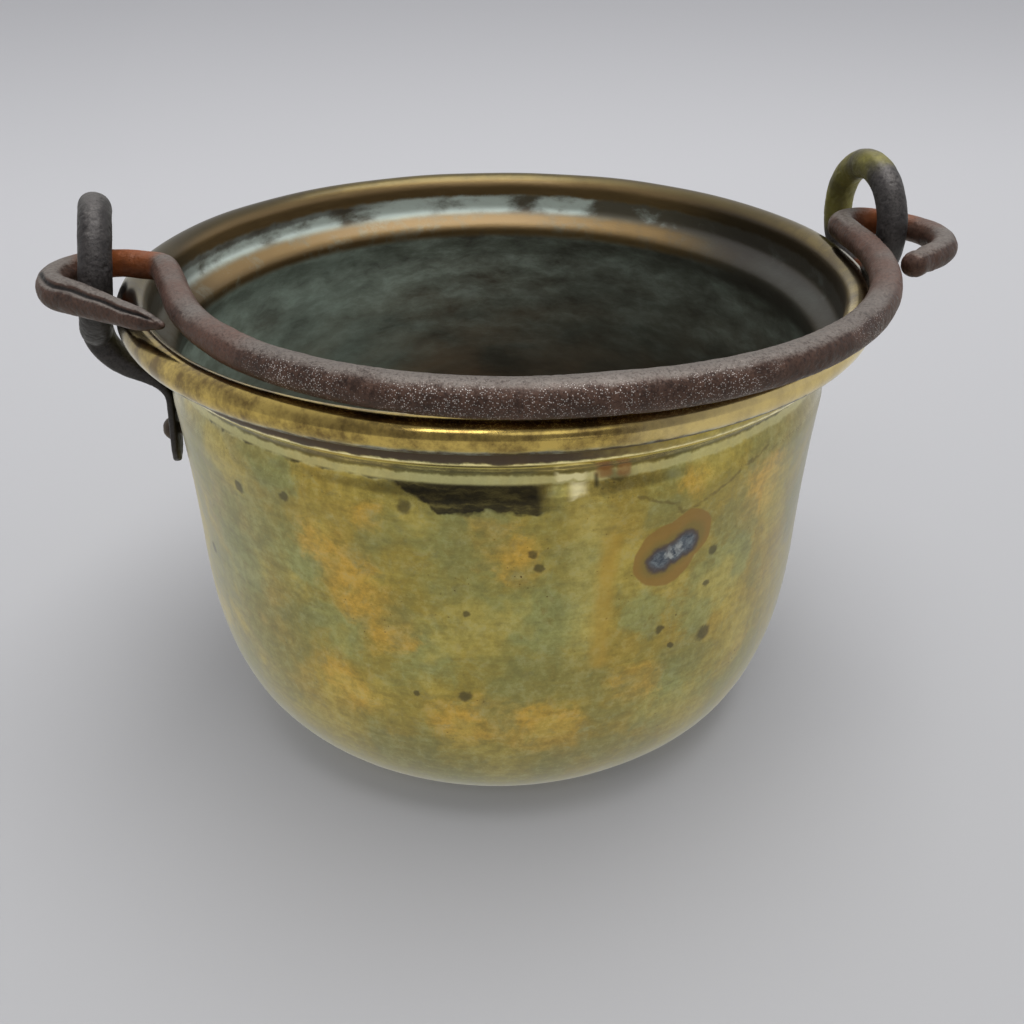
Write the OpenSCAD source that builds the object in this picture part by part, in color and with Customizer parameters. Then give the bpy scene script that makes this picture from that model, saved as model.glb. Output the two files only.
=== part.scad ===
// Small brass pot with a forged iron bail.
// Origin: middle of the flat base, on the surface that the pot stands on. +Z is up.
// The two ears are on +X and -X. At rest the bail lies folded on the rim towards -Y.

/* [Pot body] */
// Outer diameter over the rolled rim
rim_d = 152; // [145:0.5:160]
// Height from the base to the top of the rolled rim
pot_h = 98; // [93:0.5:106]
// Thickness of the brass sheet
sheet_t = 0.9; // [0.7:0.05:1.1]
// Diameter of the flat that the pot stands on
base_flat_d = 70; // [50:1:90]
// How far the rolled rim stands out past the wall at the top of the bowl
rim_overhang = 8.8; // [8:0.1:10]
// Height of the rounded bowl
bowl_h = 45; // [35:1:52]
// How square the bowl is, sideways
bowl_side_power = 3.2; // [2.4:0.1:4]
// How square the bowl is, upwards
bowl_foot_power = 2.75; // [2.2:0.05:3.4]
// How far the wall leans out from the bowl to the neck, on the radius
wall_spread = 1.3; // [0.5:0.1:1.8]

/* [Neck and rim] */
// Distance from the top of the rim down to the neck
neck_drop = 13.3; // [12:0.1:15]
// Depth of the groove pressed into the wall at the neck
neck_groove = 1.6; // [0.8:0.1:1.8]
// Height over which the wall draws in below the neck
neck_below_h = 8; // [6:0.1:9]
// Height over which the groove runs out above the neck
neck_above_h = 4.2; // [3:0.1:5]
// Diameter of the rolled rim bead
bead_d = 6; // [5.4:0.1:6.6]
// Height over which the collar swells out above the neck
collar_swell_h = 5.2; // [4.5:0.1:6]
// Angle that the sheet is rolled round the rim wire
roll_angle = 300; // [270:5:305]
// Gap between the rim wire and the sheet rolled round it
wire_clear = 0.05; // [0.02:0.01:0.2]

/* [Ears] */
// Gap between the rim and the foot of the ear ring
ear_gap = 2; // [1.8:0.1:3]
// Height of the middle of the left ear ring above the rim's top, while it stands upright
left_ear_rise = 2.8; // [2.2:0.1:3.2]
// Height of the middle of the right ear ring above the rim's top, while it stands upright
right_ear_rise = 4.2; // [3:0.1:4.6]
// Diameter of the ear ring, middle to middle of its bar
ear_ring_d = 23; // [22.4:0.1:24]
// Diameter of the ear ring's round bar
ear_bar_d = 6.2; // [5.4:0.1:6.4]
// Turn of the left ring about its upright axis, in degrees
left_ring_turn = 8; // [0:0.5:8]
// Lean of the left ring's top in over the pot, in degrees
left_ring_lean = 10.3; // [8:0.1:11]
// Turn of the right ring about its upright axis, in degrees
right_ring_turn = 2; // [1.5:0.5:2.5]
// Lean of the right ring's top in over the pot, in degrees
right_ring_lean = 2.8; // [2.2:0.1:3.2]
// Thickness of the ear's strap
strap_t = 1.8; // [1.4:0.1:2.2]
// Width of the strap at the rivet
strap_w = 11; // [9:0.5:13]
// Depth below the rim's top at which the strap leaves the wall for the neck of the ear
strap_top_drop = 24.5; // [23:0.1:26]
// Depth of the strap's lower end below the rim's top
strap_drop = 39.6; // [36:0.2:43]
// How far the strap's lower end stands off the wall
strap_lift = 1.1; // [0.6:0.1:1.5]
// Gap between the strap and the wall where it is closest
strap_clear = 0.15; // [0.1:0.01:0.3]

/* [Rivets] */
// Diameter of the rivet's shank
rivet_d = 2.6; // [2:0.1:3.2]
// Diameter of the rivet's domed head
rivet_head_d = 5; // [4.4:0.1:6]
// Height of the rivet's domed head
rivet_head_h = 1.8; // [1.2:0.1:2.2]
// Diameter of the hammered end inside the pot
rivet_peen_d = 4.6; // [4:0.1:5.6]
// Height of the hammered end inside the pot
rivet_peen_h = 1.1; // [0.8:0.1:1.5]
// Depth of the rivet below the rim's top
rivet_drop = 32.5; // [31:0.1:34]
// Gap round the rivet's shank in its holes
rivet_clear = 0.05; // [0.02:0.01:0.1]
// Gap between each end of the rivet and the sheet that it holds
rivet_seat = 0.04; // [0.02:0.01:0.1]

/* [Bail] */
// Diameter of the bail's bar along the bow
bow_bar_d = 6.8; // [6:0.1:7.2]
// Diameter of the bail's bar at the hooks
hook_bar_d = 5.7; // [5:0.1:5.8]
// Diameter of the left hook's bar where it runs back past the ring
left_return_d = 6; // [5:0.1:6]
// Diameter of the left hook's thin tip
left_tip_d = 3; // [2.4:0.1:4.4]
// Diameter of the right hook's blunt tip
right_tip_d = 5.2; // [4:0.1:5.4]
// How far the middle of the bow lies outside the middle of the rim bead
bow_overhang = 1.6; // [0.6:0.1:2]
// Distance from the middle of the left ear ring in to the left side of the bow
left_shank_inset = 18.5; // [17:0.5:20]
// Radius of the left hook, to the middle of its bar
left_hook_r = 9.2; // [9:0.1:9.4]
// Radius of the right hook, to the middle of its bar
right_hook_r = 13.4; // [13:0.1:14]
// Gap between the right ear ring and the bow beside it
right_shank_gap = 1.6; // [1.5:0.1:2.4]
// Gap between the folded bail and the rim
bail_clear = 0.3; // [0.2:0.05:0.6]

/* [Hidden] */
$fn = 96;

// Brass sheet: heights and radii of the middle of the sheet
half_t = sheet_t / 2;
bead_r = bead_d / 2;
bead_x = rim_d / 2 - bead_r;
bead_z = pot_h - bead_r;
roll_r = bead_r - half_t;
wire_r = bead_r - sheet_t - wire_clear;
collar_x = bead_x - roll_r;
neck_z = pot_h - neck_drop;
wall_x = rim_d / 2 - rim_overhang - half_t;
base_x = base_flat_d / 2;
spread_top_z = neck_z - neck_below_h;
spread_x = wall_x + wall_spread;

// Narrow level ring of the sheet between the flat and the bowl's first bend
foot_w = 0.4;
foot_x = base_x + foot_w;

// Steps along the sheet's outline
bowl_steps = 26;
wall_steps = 8;
neck_steps = 26;
roll_steps = 30;

// Easing from 0 to 1 with level ends
function ease(u) = let (v = min(1, max(0, u))) (1 - cos(180 * v)) / 2;

// Radius of the middle of the sheet at a height above the bowl
function wall_radius(z) =
    let (rise = min(1, (z - bowl_h) / (spread_top_z - bowl_h)))
    let (reach = z < neck_z ? neck_below_h : neck_above_h)
    let (groove = neck_groove * ease(1 - abs(z - neck_z) / reach))
    let (swell = ease((z - neck_z) / collar_swell_h))
    wall_x + wall_spread * rise * rise + (collar_x - spread_x) * swell - groove;

function wall_point(z) = [wall_radius(z), z];

// Point of the rounded bowl for an angle from 0 at the foot to 90 at the wall
function bowl_point(a) = [
    foot_x + (wall_x - foot_x) * pow(sin(a), 2 / bowl_side_power),
    half_t + (bowl_h - half_t) * (1 - pow(cos(a), 2 / bowl_foot_power))
];

// The middle of the sheet from the centre of the base, up the wall and round the rim
sheet_line = concat(
    [[0, half_t], [base_x, half_t]],
    [for (i = [0 : bowl_steps]) bowl_point(90 * pow(i / bowl_steps, 1.3))],
    [for (i = [1 : wall_steps]) wall_point(bowl_h + (spread_top_z - bowl_h) * i / wall_steps)],
    [for (i = [1 : neck_steps]) wall_point(spread_top_z + (bead_z - spread_top_z) * i / neck_steps)],
    [for (i = [1 : roll_steps]) let (a = 180 - roll_angle * i / roll_steps)
        [bead_x + roll_r * cos(a), bead_z + roll_r * sin(a)]]
);

function unit(v) = v / norm(v);
function left_of(v) = [-v.y, v.x];

// Direction of a line of points at point i, halfway between the steps before and after it
function step_from(line, i) = unit(line[i + 1] - line[i]);
function heading(line, i) =
    let (last = len(line) - 1)
    unit(step_from(line, max(i - 1, 0)) + step_from(line, min(i, last - 1)));

// A line of points moved sideways by its own distance at each point
function beside(line, dist) = [for (i = [0 : len(line) - 1]) line[i] + dist[i] * left_of(heading(line, i))];

function same(value, line) = [for (p = line) value];
function backwards(line) = [for (i = [len(line) - 1 : -1 : 0]) line[i]];

// Outline of a band along a line of points, half its thickness to each side
function band(line, half) = concat(beside(line, half), backwards(beside(line, -half)));

// Rivet: along X through the strap and the wall
rivet_z = pot_h - rivet_drop;
rivet_hole_d = rivet_d + 2 * rivet_clear;
hole_cut_h = 10;
// How far the round wall stands in from its middle line under the edge of the hammered end
peen_sagitta = rivet_peen_d * rivet_peen_d / 8 / wall_x;

// Ear: ring above, neck under the rim, strap down the wall
ear_x = rim_d / 2 + ear_gap + ear_bar_d / 2;
ear_ring_r = ear_ring_d / 2;
left_foot_z = pot_h + left_ear_rise - ear_ring_r;
right_foot_z = pot_h + right_ear_rise - ear_ring_r;
strap_end_z = pot_h - strap_drop;
strap_top_z = pot_h - strap_top_drop;
strap_x = wall_radius(strap_top_z) + half_t + strap_clear + strap_t / 2;
strap_slope = strap_lift / (strap_top_z - strap_end_z);
strap_end_x = strap_x + strap_lift;

// Bezier curve of the ear's neck, from the strap to the foot of the ring
neck_pull = 7;
neck_push = 10;
neck_bend_steps = 12;
neck_level_h = 2;
function neck_bend(foot_z) = [
    [strap_x, strap_top_z],
    [strap_x - neck_pull * strap_slope, strap_top_z + neck_pull],
    [ear_x, foot_z - neck_push],
    [ear_x, foot_z]
];
function bezier(c, u) =
    pow(1 - u, 3) * c[0] + 3 * pow(1 - u, 2) * u * c[1] + 3 * (1 - u) * u * u * c[2] + pow(u, 3) * c[3];
function ear_line(foot_z) = concat(
    [[strap_end_x, strap_end_z]],
    [for (i = [0 : neck_bend_steps]) bezier(neck_bend(foot_z), i / neck_bend_steps)]
);
ear_half_t = concat(
    [strap_t / 2],
    [for (i = [0 : neck_bend_steps]) (strap_t + (ear_bar_d - strap_t) * ease(i / neck_bend_steps)) / 2]
);
strap_tilt = atan(strap_slope);
strap_mid_x = strap_x + strap_slope * (strap_top_z - rivet_z);
head_x = strap_mid_x + strap_t / 2 / cos(strap_tilt) + rivet_seat;
wall_tilt = atan(wall_radius(rivet_z + 0.5) - wall_radius(rivet_z - 0.5));
peen_x = wall_radius(rivet_z) - half_t / cos(wall_tilt) - peen_sagitta - rivet_seat;

// Bail: a bar bent round a row of circles, each [centre x, centre y, radius, turn]
// The turn is 1 for anticlockwise and -1 for clockwise, seen from above
bail_z = pot_h + bow_bar_d / 2 + bail_clear;
bow_reach = bead_x + bow_overhang;

// Bow: its two halves have their own middles, a little to the right of the pot's
bow_left_x = 1.4;
bow_right_x = 6.5;
right_shank_x = ear_x - ear_bar_d / 2 - right_shank_gap - hook_bar_d / 2;
bow_left_r = ear_x - left_shank_inset + bow_left_x;
bow_right_r = right_shank_x - bow_right_x;

// Corners where the bow turns out to each ring, as a distance along X from the ring and a distance along Y
corner_r = 5;
corner_ease = 0.5;
left_corner = [11.1, -7.2];
right_corner_y = -3.9;

// Hooks: how far each one is off the middle of its ring, and where its tip ends
left_hook_off = [5.3, 0.2];
right_hook_off = [-4.7, 0.3];
left_tip = [18.4, -35.6];
right_tip = [-5.9, -29.8];

bail_rounds = [
    [-ear_x + left_tip.x, left_tip.y, 0, 1],
    [-ear_x + left_hook_off.x, left_hook_off.y - left_hook_r, left_hook_r, -1],
    [-ear_x + left_corner.x, left_corner.y, corner_r, -1],
    [bow_left_x, bow_left_r - bow_reach, bow_left_r, 1],
    [bow_right_x, bow_right_r - bow_reach, bow_right_r, 1],
    [right_shank_x + corner_r + corner_ease, right_corner_y, corner_r, -1],
    [ear_x + right_hook_off.x, right_hook_off.y - right_hook_r, right_hook_r, -1],
    [ear_x + right_tip.x, right_tip.y, 0, 1]
];
// Bar diameter where each circle of the bail begins and where it ends
bail_dias = [
    [left_tip_d, left_tip_d],
    [left_return_d, hook_bar_d],
    [hook_bar_d, hook_bar_d],
    [hook_bar_d, bow_bar_d],
    [bow_bar_d, hook_bar_d],
    [hook_bar_d, hook_bar_d],
    [hook_bar_d, hook_bar_d],
    [right_tip_d, right_tip_d]
];

function centre(c) = [c[0], c[1]];
// Heading of the straight that leaves one circle and meets the next
function tangent_angle(a, b) =
    let (v = centre(b) - centre(a))
    atan2(v.y, v.x) - asin((b[3] * b[2] - a[3] * a[2]) / norm(v));
// Point where a straight with that heading touches a circle
function touch(c, angle) = centre(c) + c[3] * c[2] * [sin(angle), -cos(angle)];

// Middle line of the bail as [x, y, bar diameter], one group of points for each circle
bend_step = 5;
bar_sides = 18;
function bend_points(c, angle_in, angle_out, d) =
    let (raw = c[3] * (angle_out - angle_in))
    let (turn = raw - 360 * floor(raw / 360))
    let (steps = max(2, ceil(turn / bend_step)))
    [for (i = [0 : steps]) let (p = touch(c, angle_in + c[3] * turn * i / steps))
        [p.x, p.y, d[0] + (d[1] - d[0]) * i / steps]];

// Solid of a bar with round sections: a ring of points for each [x, y, diameter] of the line
module swept_bar(line, sides) {
    rings = len(line);
    last = rings - 1;
    path = [for (p = line) [p.x, p.y]];
    points = [for (i = [0 : last]) let (side = left_of(heading(path, i))) for (k = [0 : sides - 1])
        let (a = 360 * k / sides) let (r = line[i][2] / 2)
        [path[i].x + r * cos(a) * side.x, path[i].y + r * cos(a) * side.y, r * sin(a)]];
    skin = [for (i = [0 : last - 1]) for (k = [0 : sides - 1])
        let (n = (k + 1) % sides) let (a = i * sides) let (b = a + sides)
        each [[a + k, b + k, b + n], [a + k, b + n, a + n]]];
    start_cap = [for (k = [0 : sides - 1]) k];
    end_cap = [for (k = [sides - 1 : -1 : 0]) last * sides + k];
    polyhedron(points, concat(skin, [start_cap, end_cap]), convexity = 8);
}

module pot_body() {
    color("#b08d3c") difference() {
        rotate_extrude() polygon(band(sheet_line, same(half_t, sheet_line)));
        for (side = [-1, 1])
            translate([side * wall_radius(rivet_z), 0, rivet_z]) rotate([0, 90, 0])
                cylinder(h = hole_cut_h, d = rivet_hole_d, center = true);
    }
}

module rim_wire() {
    color("#5a4a42") translate([0, 0, bead_z])
        rotate_extrude() translate([bead_x, 0]) circle(r = wire_r);
}

// Front outline of the neck and strap: narrow at the ring, round at the lower end
module strap_outline(foot_z) {
    waist_z = foot_z - neck_level_h;
    round_z = strap_end_z + strap_w / 2;
    translate([0, round_z]) circle(d = strap_w);
    polygon([
        [-strap_w / 2, round_z], [strap_w / 2, round_z],
        [strap_w / 2, strap_top_z], [ear_bar_d / 2, waist_z], [ear_bar_d / 2, foot_z],
        [-ear_bar_d / 2, foot_z], [-ear_bar_d / 2, waist_z], [-strap_w / 2, strap_top_z]
    ]);
}

// One ear, drawn on the +X side. The ring leans and turns about its foot, where the neck joins it.
module ear(foot_z, ring_turn, ring_lean) {
    color("#4a4644") {
        translate([ear_x, 0, foot_z]) rotate([0, -ring_lean, ring_turn])
            translate([0, 0, ear_ring_r]) rotate([0, 90, 0])
                rotate_extrude() translate([ear_ring_r, 0]) circle(d = ear_bar_d);
        difference() {
            intersection() {
                rotate([90, 0, 0]) linear_extrude(height = strap_w, center = true)
                    polygon(band(ear_line(foot_z), ear_half_t));
                rotate([90, 0, 90]) linear_extrude(height = ear_x + ear_bar_d) strap_outline(foot_z);
            }
            translate([strap_mid_x, 0, rivet_z]) rotate([0, 90, 0])
                cylinder(h = hole_cut_h, d = rivet_hole_d, center = true);
        }
    }
}

module left_ear() {
    mirror([1, 0, 0]) ear(left_foot_z, -left_ring_turn, left_ring_lean);
}

module right_ear() {
    ear(right_foot_z, right_ring_turn, right_ring_lean);
}

// One rivet, drawn on the +X side: domed head outside, shank, hammered end inside
module rivet() {
    color("#6b6157") {
        translate([head_x, 0, rivet_z]) rotate([0, 90 - strap_tilt, 0])
            rivet_dome(rivet_head_d, rivet_head_h);
        translate([peen_x - rivet_peen_h / 2, 0, rivet_z]) rotate([0, 90, 0])
            cylinder(h = head_x - peen_x + (rivet_peen_h + rivet_head_h) / 2, d = rivet_d);
        translate([peen_x, 0, rivet_z]) rotate([0, wall_tilt - 90, 0]) rivet_dome(rivet_peen_d, rivet_peen_h);
    }
}

// Cap of a ball, standing on the plane z = 0
module rivet_dome(d, h) {
    ball_r = (d * d / 4 + h * h) / (2 * h);
    intersection() {
        translate([0, 0, h - ball_r]) sphere(r = ball_r);
        cylinder(h = h + 1, d = d + 1);
    }
}

module left_rivet() {
    mirror([1, 0, 0]) rivet();
}

module right_rivet() {
    rivet();
}

// Rounded tip: a few rings that close in from the bar's end like a ball
tip_rings = 4;
function tip_points(end, angle, d, way) = [for (i = [1 : tip_rings])
    let (a = way > 0 ? 90 * i / (tip_rings + 0.5) : 90 * (tip_rings + 1 - i) / (tip_rings + 0.5))
    [end[0] + way * d / 2 * sin(a) * cos(angle), end[1] + way * d / 2 * sin(a) * sin(angle), d * cos(a)]];

bail_last = len(bail_rounds) - 1;
bail_angles = [for (i = [0 : bail_last - 1]) tangent_angle(bail_rounds[i], bail_rounds[i + 1])];
bail_line = concat(
    tip_points(bail_rounds[0], bail_angles[0], left_tip_d, -1),
    [[bail_rounds[0].x, bail_rounds[0].y, left_tip_d]],
    [for (i = [1 : bail_last - 1])
        each bend_points(bail_rounds[i], bail_angles[i - 1], bail_angles[i], bail_dias[i])],
    [[bail_rounds[bail_last].x, bail_rounds[bail_last].y, right_tip_d]],
    tip_points(bail_rounds[bail_last], bail_angles[bail_last - 1], right_tip_d, 1)
);

module bail() {
    color("#5d5350") translate([0, 0, bail_z]) swept_bar(bail_line, bar_sides);
}

pot_body();
rim_wire();
left_ear();
right_ear();
left_rivet();
right_rivet();
bail();
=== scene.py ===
# %% [markdown]
# A small brass pot with an iron bail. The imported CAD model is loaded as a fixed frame. It gives the
# real sizes and the bodies that move: the pot with its two ears, and the bail that swings in them.
# Everything made below is a dressed piece that sits in the same place as the solid that it stands for.

# %% Load the frame
import math

import bmesh
import bpy
from mathutils import Matrix, Vector, noise


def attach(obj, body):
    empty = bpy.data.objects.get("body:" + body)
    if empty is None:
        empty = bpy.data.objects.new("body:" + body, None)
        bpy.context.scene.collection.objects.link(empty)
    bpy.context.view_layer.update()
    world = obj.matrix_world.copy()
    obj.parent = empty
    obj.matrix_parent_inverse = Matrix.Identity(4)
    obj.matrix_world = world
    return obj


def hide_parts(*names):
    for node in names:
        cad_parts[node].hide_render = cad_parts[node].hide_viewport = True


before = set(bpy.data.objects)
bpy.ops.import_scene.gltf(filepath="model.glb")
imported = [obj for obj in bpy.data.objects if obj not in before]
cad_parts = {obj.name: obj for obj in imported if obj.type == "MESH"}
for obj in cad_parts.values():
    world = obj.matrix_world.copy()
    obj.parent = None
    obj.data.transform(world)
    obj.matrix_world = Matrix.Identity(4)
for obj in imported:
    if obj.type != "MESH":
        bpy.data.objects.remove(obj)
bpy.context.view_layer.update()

# %% [markdown]
# Lengths on a pot are easiest to think about in millimetres, and Blender works in metres. One factor
# turns the first into the second. Colours are written as on a paint chart and made linear for the shader.

# %% Units and colours
MM = 0.001


def mm(x, y, z):
    return Vector((x, y, z)) * MM


def srgb(code):
    """A colour written as #rrggbb, as the linear values that a shader works with."""
    parts = [int(code[i:i + 2], 16) / 255 for i in (1, 3, 5)]
    linear = [c / 12.92 if c <= 0.04045 else ((c + 0.055) / 1.055) ** 2.4 for c in parts]
    return (*linear, 1.0)


def smooth_step(low, high, value):
    """0 below low, 1 above high, and an even ease between them."""
    t = min(1.0, max(0.0, (value - low) / (high - low)))
    return t * t * (3 - 2 * t)


# %% [markdown]
# The camera comes first, because it decides how fine each piece has to be. The pot was seen from a
# little above the rim, from the front and slightly to the left, about 25 cm away, through the wide
# lens of a small camera. That short distance is why the near side of the rim looks so much larger.

# %% Camera
camera_data = bpy.data.cameras.new("front_camera")
camera_data.sensor_width = 36.0
camera_data.lens = 36.91
camera_data.clip_start = 0.01
camera = bpy.data.objects.new("front_camera", camera_data)
camera_at = mm(-35.7, -209.3, 167.3)
camera_aim = mm(2.97, -0.55, 36.7)
camera.location = camera_at
camera.rotation_euler = (camera_aim - camera_at).to_track_quat("-Z", "Y").to_euler()
bpy.context.scene.collection.objects.link(camera)
bpy.context.scene.camera = camera
print("camera is", round((camera_aim - camera_at).length / MM), "mm from the point it looks at")

# %% [markdown]
# Helpers for meshes. A piece is drawn in a bmesh, turned into a mesh, shaded smooth, and put at the
# origin with its place in its vertices. The same helper puts it on the body that it rides on and hides
# the solid that it stands for.

# %% Turning a bmesh into a piece of the object


def finish_piece(name, bm, body, replaces):
    bmesh.ops.recalc_face_normals(bm, faces=bm.faces)
    mesh = bpy.data.meshes.new(name)
    bm.to_mesh(mesh)
    bm.free()
    mesh.polygons.foreach_set("use_smooth", [True] * len(mesh.polygons))
    piece = bpy.data.objects.new(name, mesh)
    bpy.context.scene.collection.objects.link(piece)
    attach(piece, body)
    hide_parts(replaces)
    triangles = sum(len(p.vertices) - 2 for p in mesh.polygons)
    print(f"{name}: {len(mesh.vertices)} vertices, {triangles} triangles")
    return piece


# %% [markdown]
# The pot is one sheet of brass. A profile through the sheet can be drawn once and spun round the
# middle, which is also how such a pot is made on a lathe. The profile follows the middle of the sheet
# from the centre of the base, up the round bowl and the wall, through the pinched neck and the
# swelling collar, and round the iron wire inside the rolled rim.

# %% Sizes of the brass sheet, in millimetres
SHEET = 0.9
RIM_R = 76.0
POT_H = 98.0
BEAD_R = 3.0
BASE_R = 35.0
BOWL_H = 45.0
WALL_R = 66.75
WALL_SPREAD = 1.3
NECK_Z = 84.7
NECK_GROOVE = 1.6
NECK_BELOW = 8.0
NECK_ABOVE = 4.2
SWELL_H = 5.2
ROLL_ANGLE = 300
bead_x = RIM_R - BEAD_R
bead_z = POT_H - BEAD_R
roll_r = BEAD_R - SHEET / 2
collar_r = bead_x - roll_r

# %% The line along the middle of the sheet


def sheet_radius(z):
    """Radius of the middle of the sheet at a height above the bowl."""
    top = NECK_Z - NECK_ABOVE
    rise = min(1.0, (z - BOWL_H) / (top - BOWL_H))
    reach = NECK_BELOW if z < NECK_Z else NECK_ABOVE
    pinch = max(0.0, 1 - abs(z - NECK_Z) / reach)
    groove = NECK_GROOVE * (1 - math.cos(math.pi * pinch)) / 2
    swell = min(1.0, max(0.0, (z - NECK_Z) / SWELL_H))
    swell = (1 - math.cos(math.pi * swell)) / 2
    return WALL_R + WALL_SPREAD * rise * rise + (collar_r - WALL_R - WALL_SPREAD) * swell - groove


def bowl_point(a):
    """Point of the rounded bowl, a being 0 at the foot and a quarter turn at the wall."""
    foot = BASE_R + 0.4
    x = foot + (WALL_R - foot) * math.sin(a) ** (2 / 3.2)
    return x, SHEET / 2 + (BOWL_H - SHEET / 2) * (1 - max(0.0, math.cos(a)) ** (2 / 2.75))


BOWL_STEPS, WALL_STEPS, NECK_STEPS, ROLL_STEPS = 44, 16, 46, 44
sheet_line = [(x, SHEET / 2) for x in (0, 6, 12, 18, 24, 30, BASE_R)]
sheet_line += [bowl_point(math.pi / 2 * (i / BOWL_STEPS) ** 1.3) for i in range(BOWL_STEPS + 1)]
groove_foot = NECK_Z - NECK_BELOW
for i in range(1, WALL_STEPS + 1):
    z = BOWL_H + (groove_foot - BOWL_H) * i / WALL_STEPS
    sheet_line.append((sheet_radius(z), z))
for i in range(1, NECK_STEPS + 1):
    z = groove_foot + (bead_z - groove_foot) * i / NECK_STEPS
    sheet_line.append((sheet_radius(z), z))
wall_count = len(sheet_line)
for i in range(1, ROLL_STEPS + 1):
    a = math.radians(180 - ROLL_ANGLE * i / ROLL_STEPS)
    sheet_line.append((bead_x + roll_r * math.cos(a), bead_z + roll_r * math.sin(a)))
print(len(sheet_line), "points along the sheet,", wall_count, "of them below the roll")

# %% [markdown]
# The sheet gets its two faces by moving each point half a thickness to either side. The end of the
# rolled sheet is closed with a small half round, as a trimmed and rubbed edge is. Each point also
# carries a number, inside, that is 1 on the face that looks into the pot and fades to 0 over the top
# of the rim, so that one material can change from polished brass to dark patina without a seam.

# %% Profile of the sheet, spun into the pot


def sideways(i):
    before = Vector(sheet_line[max(i - 1, 0)])
    after = Vector(sheet_line[min(i + 1, len(sheet_line) - 1)])
    step = (after - before).normalized()
    return Vector((-step.y, step.x))


ring = bmesh.new()
inside_layer = ring.verts.layers.float.new("inside")
inner_face, outer_face = [], []
for i, (x, z) in enumerate(sheet_line):
    side = sideways(i) * SHEET / 2
    into_roll = max(0, i - wall_count) / ROLL_STEPS
    v = ring.verts.new(mm(max(0.0, x + side.x), 0, z + side.y))
    v[inside_layer] = 1 - smooth_step(0.02, 0.16, into_roll)
    inner_face.append(v)
    v = ring.verts.new(mm(max(0.0, x - side.x), 0, z - side.y))
    outer_face.append(v)
end = Vector(sheet_line[-1])
end_side = sideways(len(sheet_line) - 1)
end_ahead = Vector((end_side.y, -end_side.x))
tip = []
for a in (45, 90, 135):
    p = end + (end_side * math.cos(math.radians(a)) + end_ahead * math.sin(math.radians(a))) * SHEET / 2
    tip.append(ring.verts.new(mm(p.x, 0, p.y)))
loop = inner_face + tip + outer_face[::-1]
for a, b in zip(loop, loop[1:]):
    ring.edges.new((a, b))
SPIN_STEPS = 256
bmesh.ops.spin(ring, geom=ring.verts[:] + ring.edges[:], cent=(0, 0, 0), axis=(0, 0, 1),
               dvec=(0, 0, 0), angle=math.tau, steps=SPIN_STEPS, use_merge=True)
bmesh.ops.remove_doubles(ring, verts=ring.verts, dist=1e-6)
print("spun", len(ring.faces), "faces; open edges:", sum(not e.is_manifold for e in ring.edges))

# %% [markdown]
# A pot made by hand is never quite round. Very low waves, some tenths of a millimetre high, are put
# in the wall. They are too small to see as a shape, but they bend the reflections in the metal, and
# that is what tells the eye that the sheet is thin and old. The base stays flat.

# %% Waves in the sheet
for v in ring.verts:
    r = math.hypot(v.co.x, v.co.y)
    z = v.co.z / MM
    if r < BASE_R * MM:
        continue
    out = Vector((v.co.x / r, v.co.y / r, 0))
    free = smooth_step(1, 12, z) * (1 - 0.75 * smooth_step(80, 92, z))
    wide = noise.noise(out * 2.2 + Vector((0, 0, z / 40)))
    small = noise.noise(out * 9 + Vector((5, 3, z / 9)))
    v.co += out * MM * free * (0.22 * wide + 0.05 * small - 0.05)
    rim = smooth_step(90, 94, z)
    v.co.z -= MM * rim * (0.22 + 0.25 * noise.noise(out * 3 + Vector((2, 7, 0))))
    v.co -= out * MM * rim * (0.12 + 0.12 * noise.noise(out * 4 + Vector((9, 1, 0))))
pot = finish_piece("pot_sheet", ring, "pot", "pot_body")

# %% [markdown]
# A bar that is bent cold keeps its section and follows a line of straights and arcs. The bail can be
# drawn the same way: circles of the right radius stand where the smith's pegs were, and the line runs
# from one to the next along common tangents. These are the same pegs that the CAD model uses.

# %% The pegs that the bail was bent round, in millimetres
EAR_X = 81.1
BAIL_Z = 101.7
BOW_REACH = 74.6
SHANK_RIGHT = EAR_X - 3.1 - 1.6 - 5.7 / 2
BOW_LEFT_R = EAR_X - 18.5 + 1.4
BOW_RIGHT_R = SHANK_RIGHT - 6.5
pegs = [
    (-EAR_X + 18.4, -35.6, 0.0, 1, 3.0, 3.0),
    (-EAR_X + 5.3, 0.2 - 9.2, 9.2, -1, 6.0, 5.7),
    (-EAR_X + 11.1, -7.2, 5.0, -1, 5.7, 5.7),
    (1.4, BOW_LEFT_R - BOW_REACH, BOW_LEFT_R, 1, 5.7, 6.8),
    (6.5, BOW_RIGHT_R - BOW_REACH, BOW_RIGHT_R, 1, 6.8, 5.7),
    (SHANK_RIGHT + 5.5, -3.9, 5.0, -1, 5.7, 5.7),
    (EAR_X - 4.7, 0.3 - 13.4, 13.4, -1, 5.7, 5.7),
    (EAR_X - 5.9, -29.8, 0.0, 1, 5.2, 5.2),
]


def tangent(a, b):
    """Heading of the straight that leaves peg a and meets peg b."""
    dx, dy = b[0] - a[0], b[1] - a[1]
    return math.atan2(dy, dx) - math.asin((b[3] * b[2] - a[3] * a[2]) / math.hypot(dx, dy))


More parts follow.
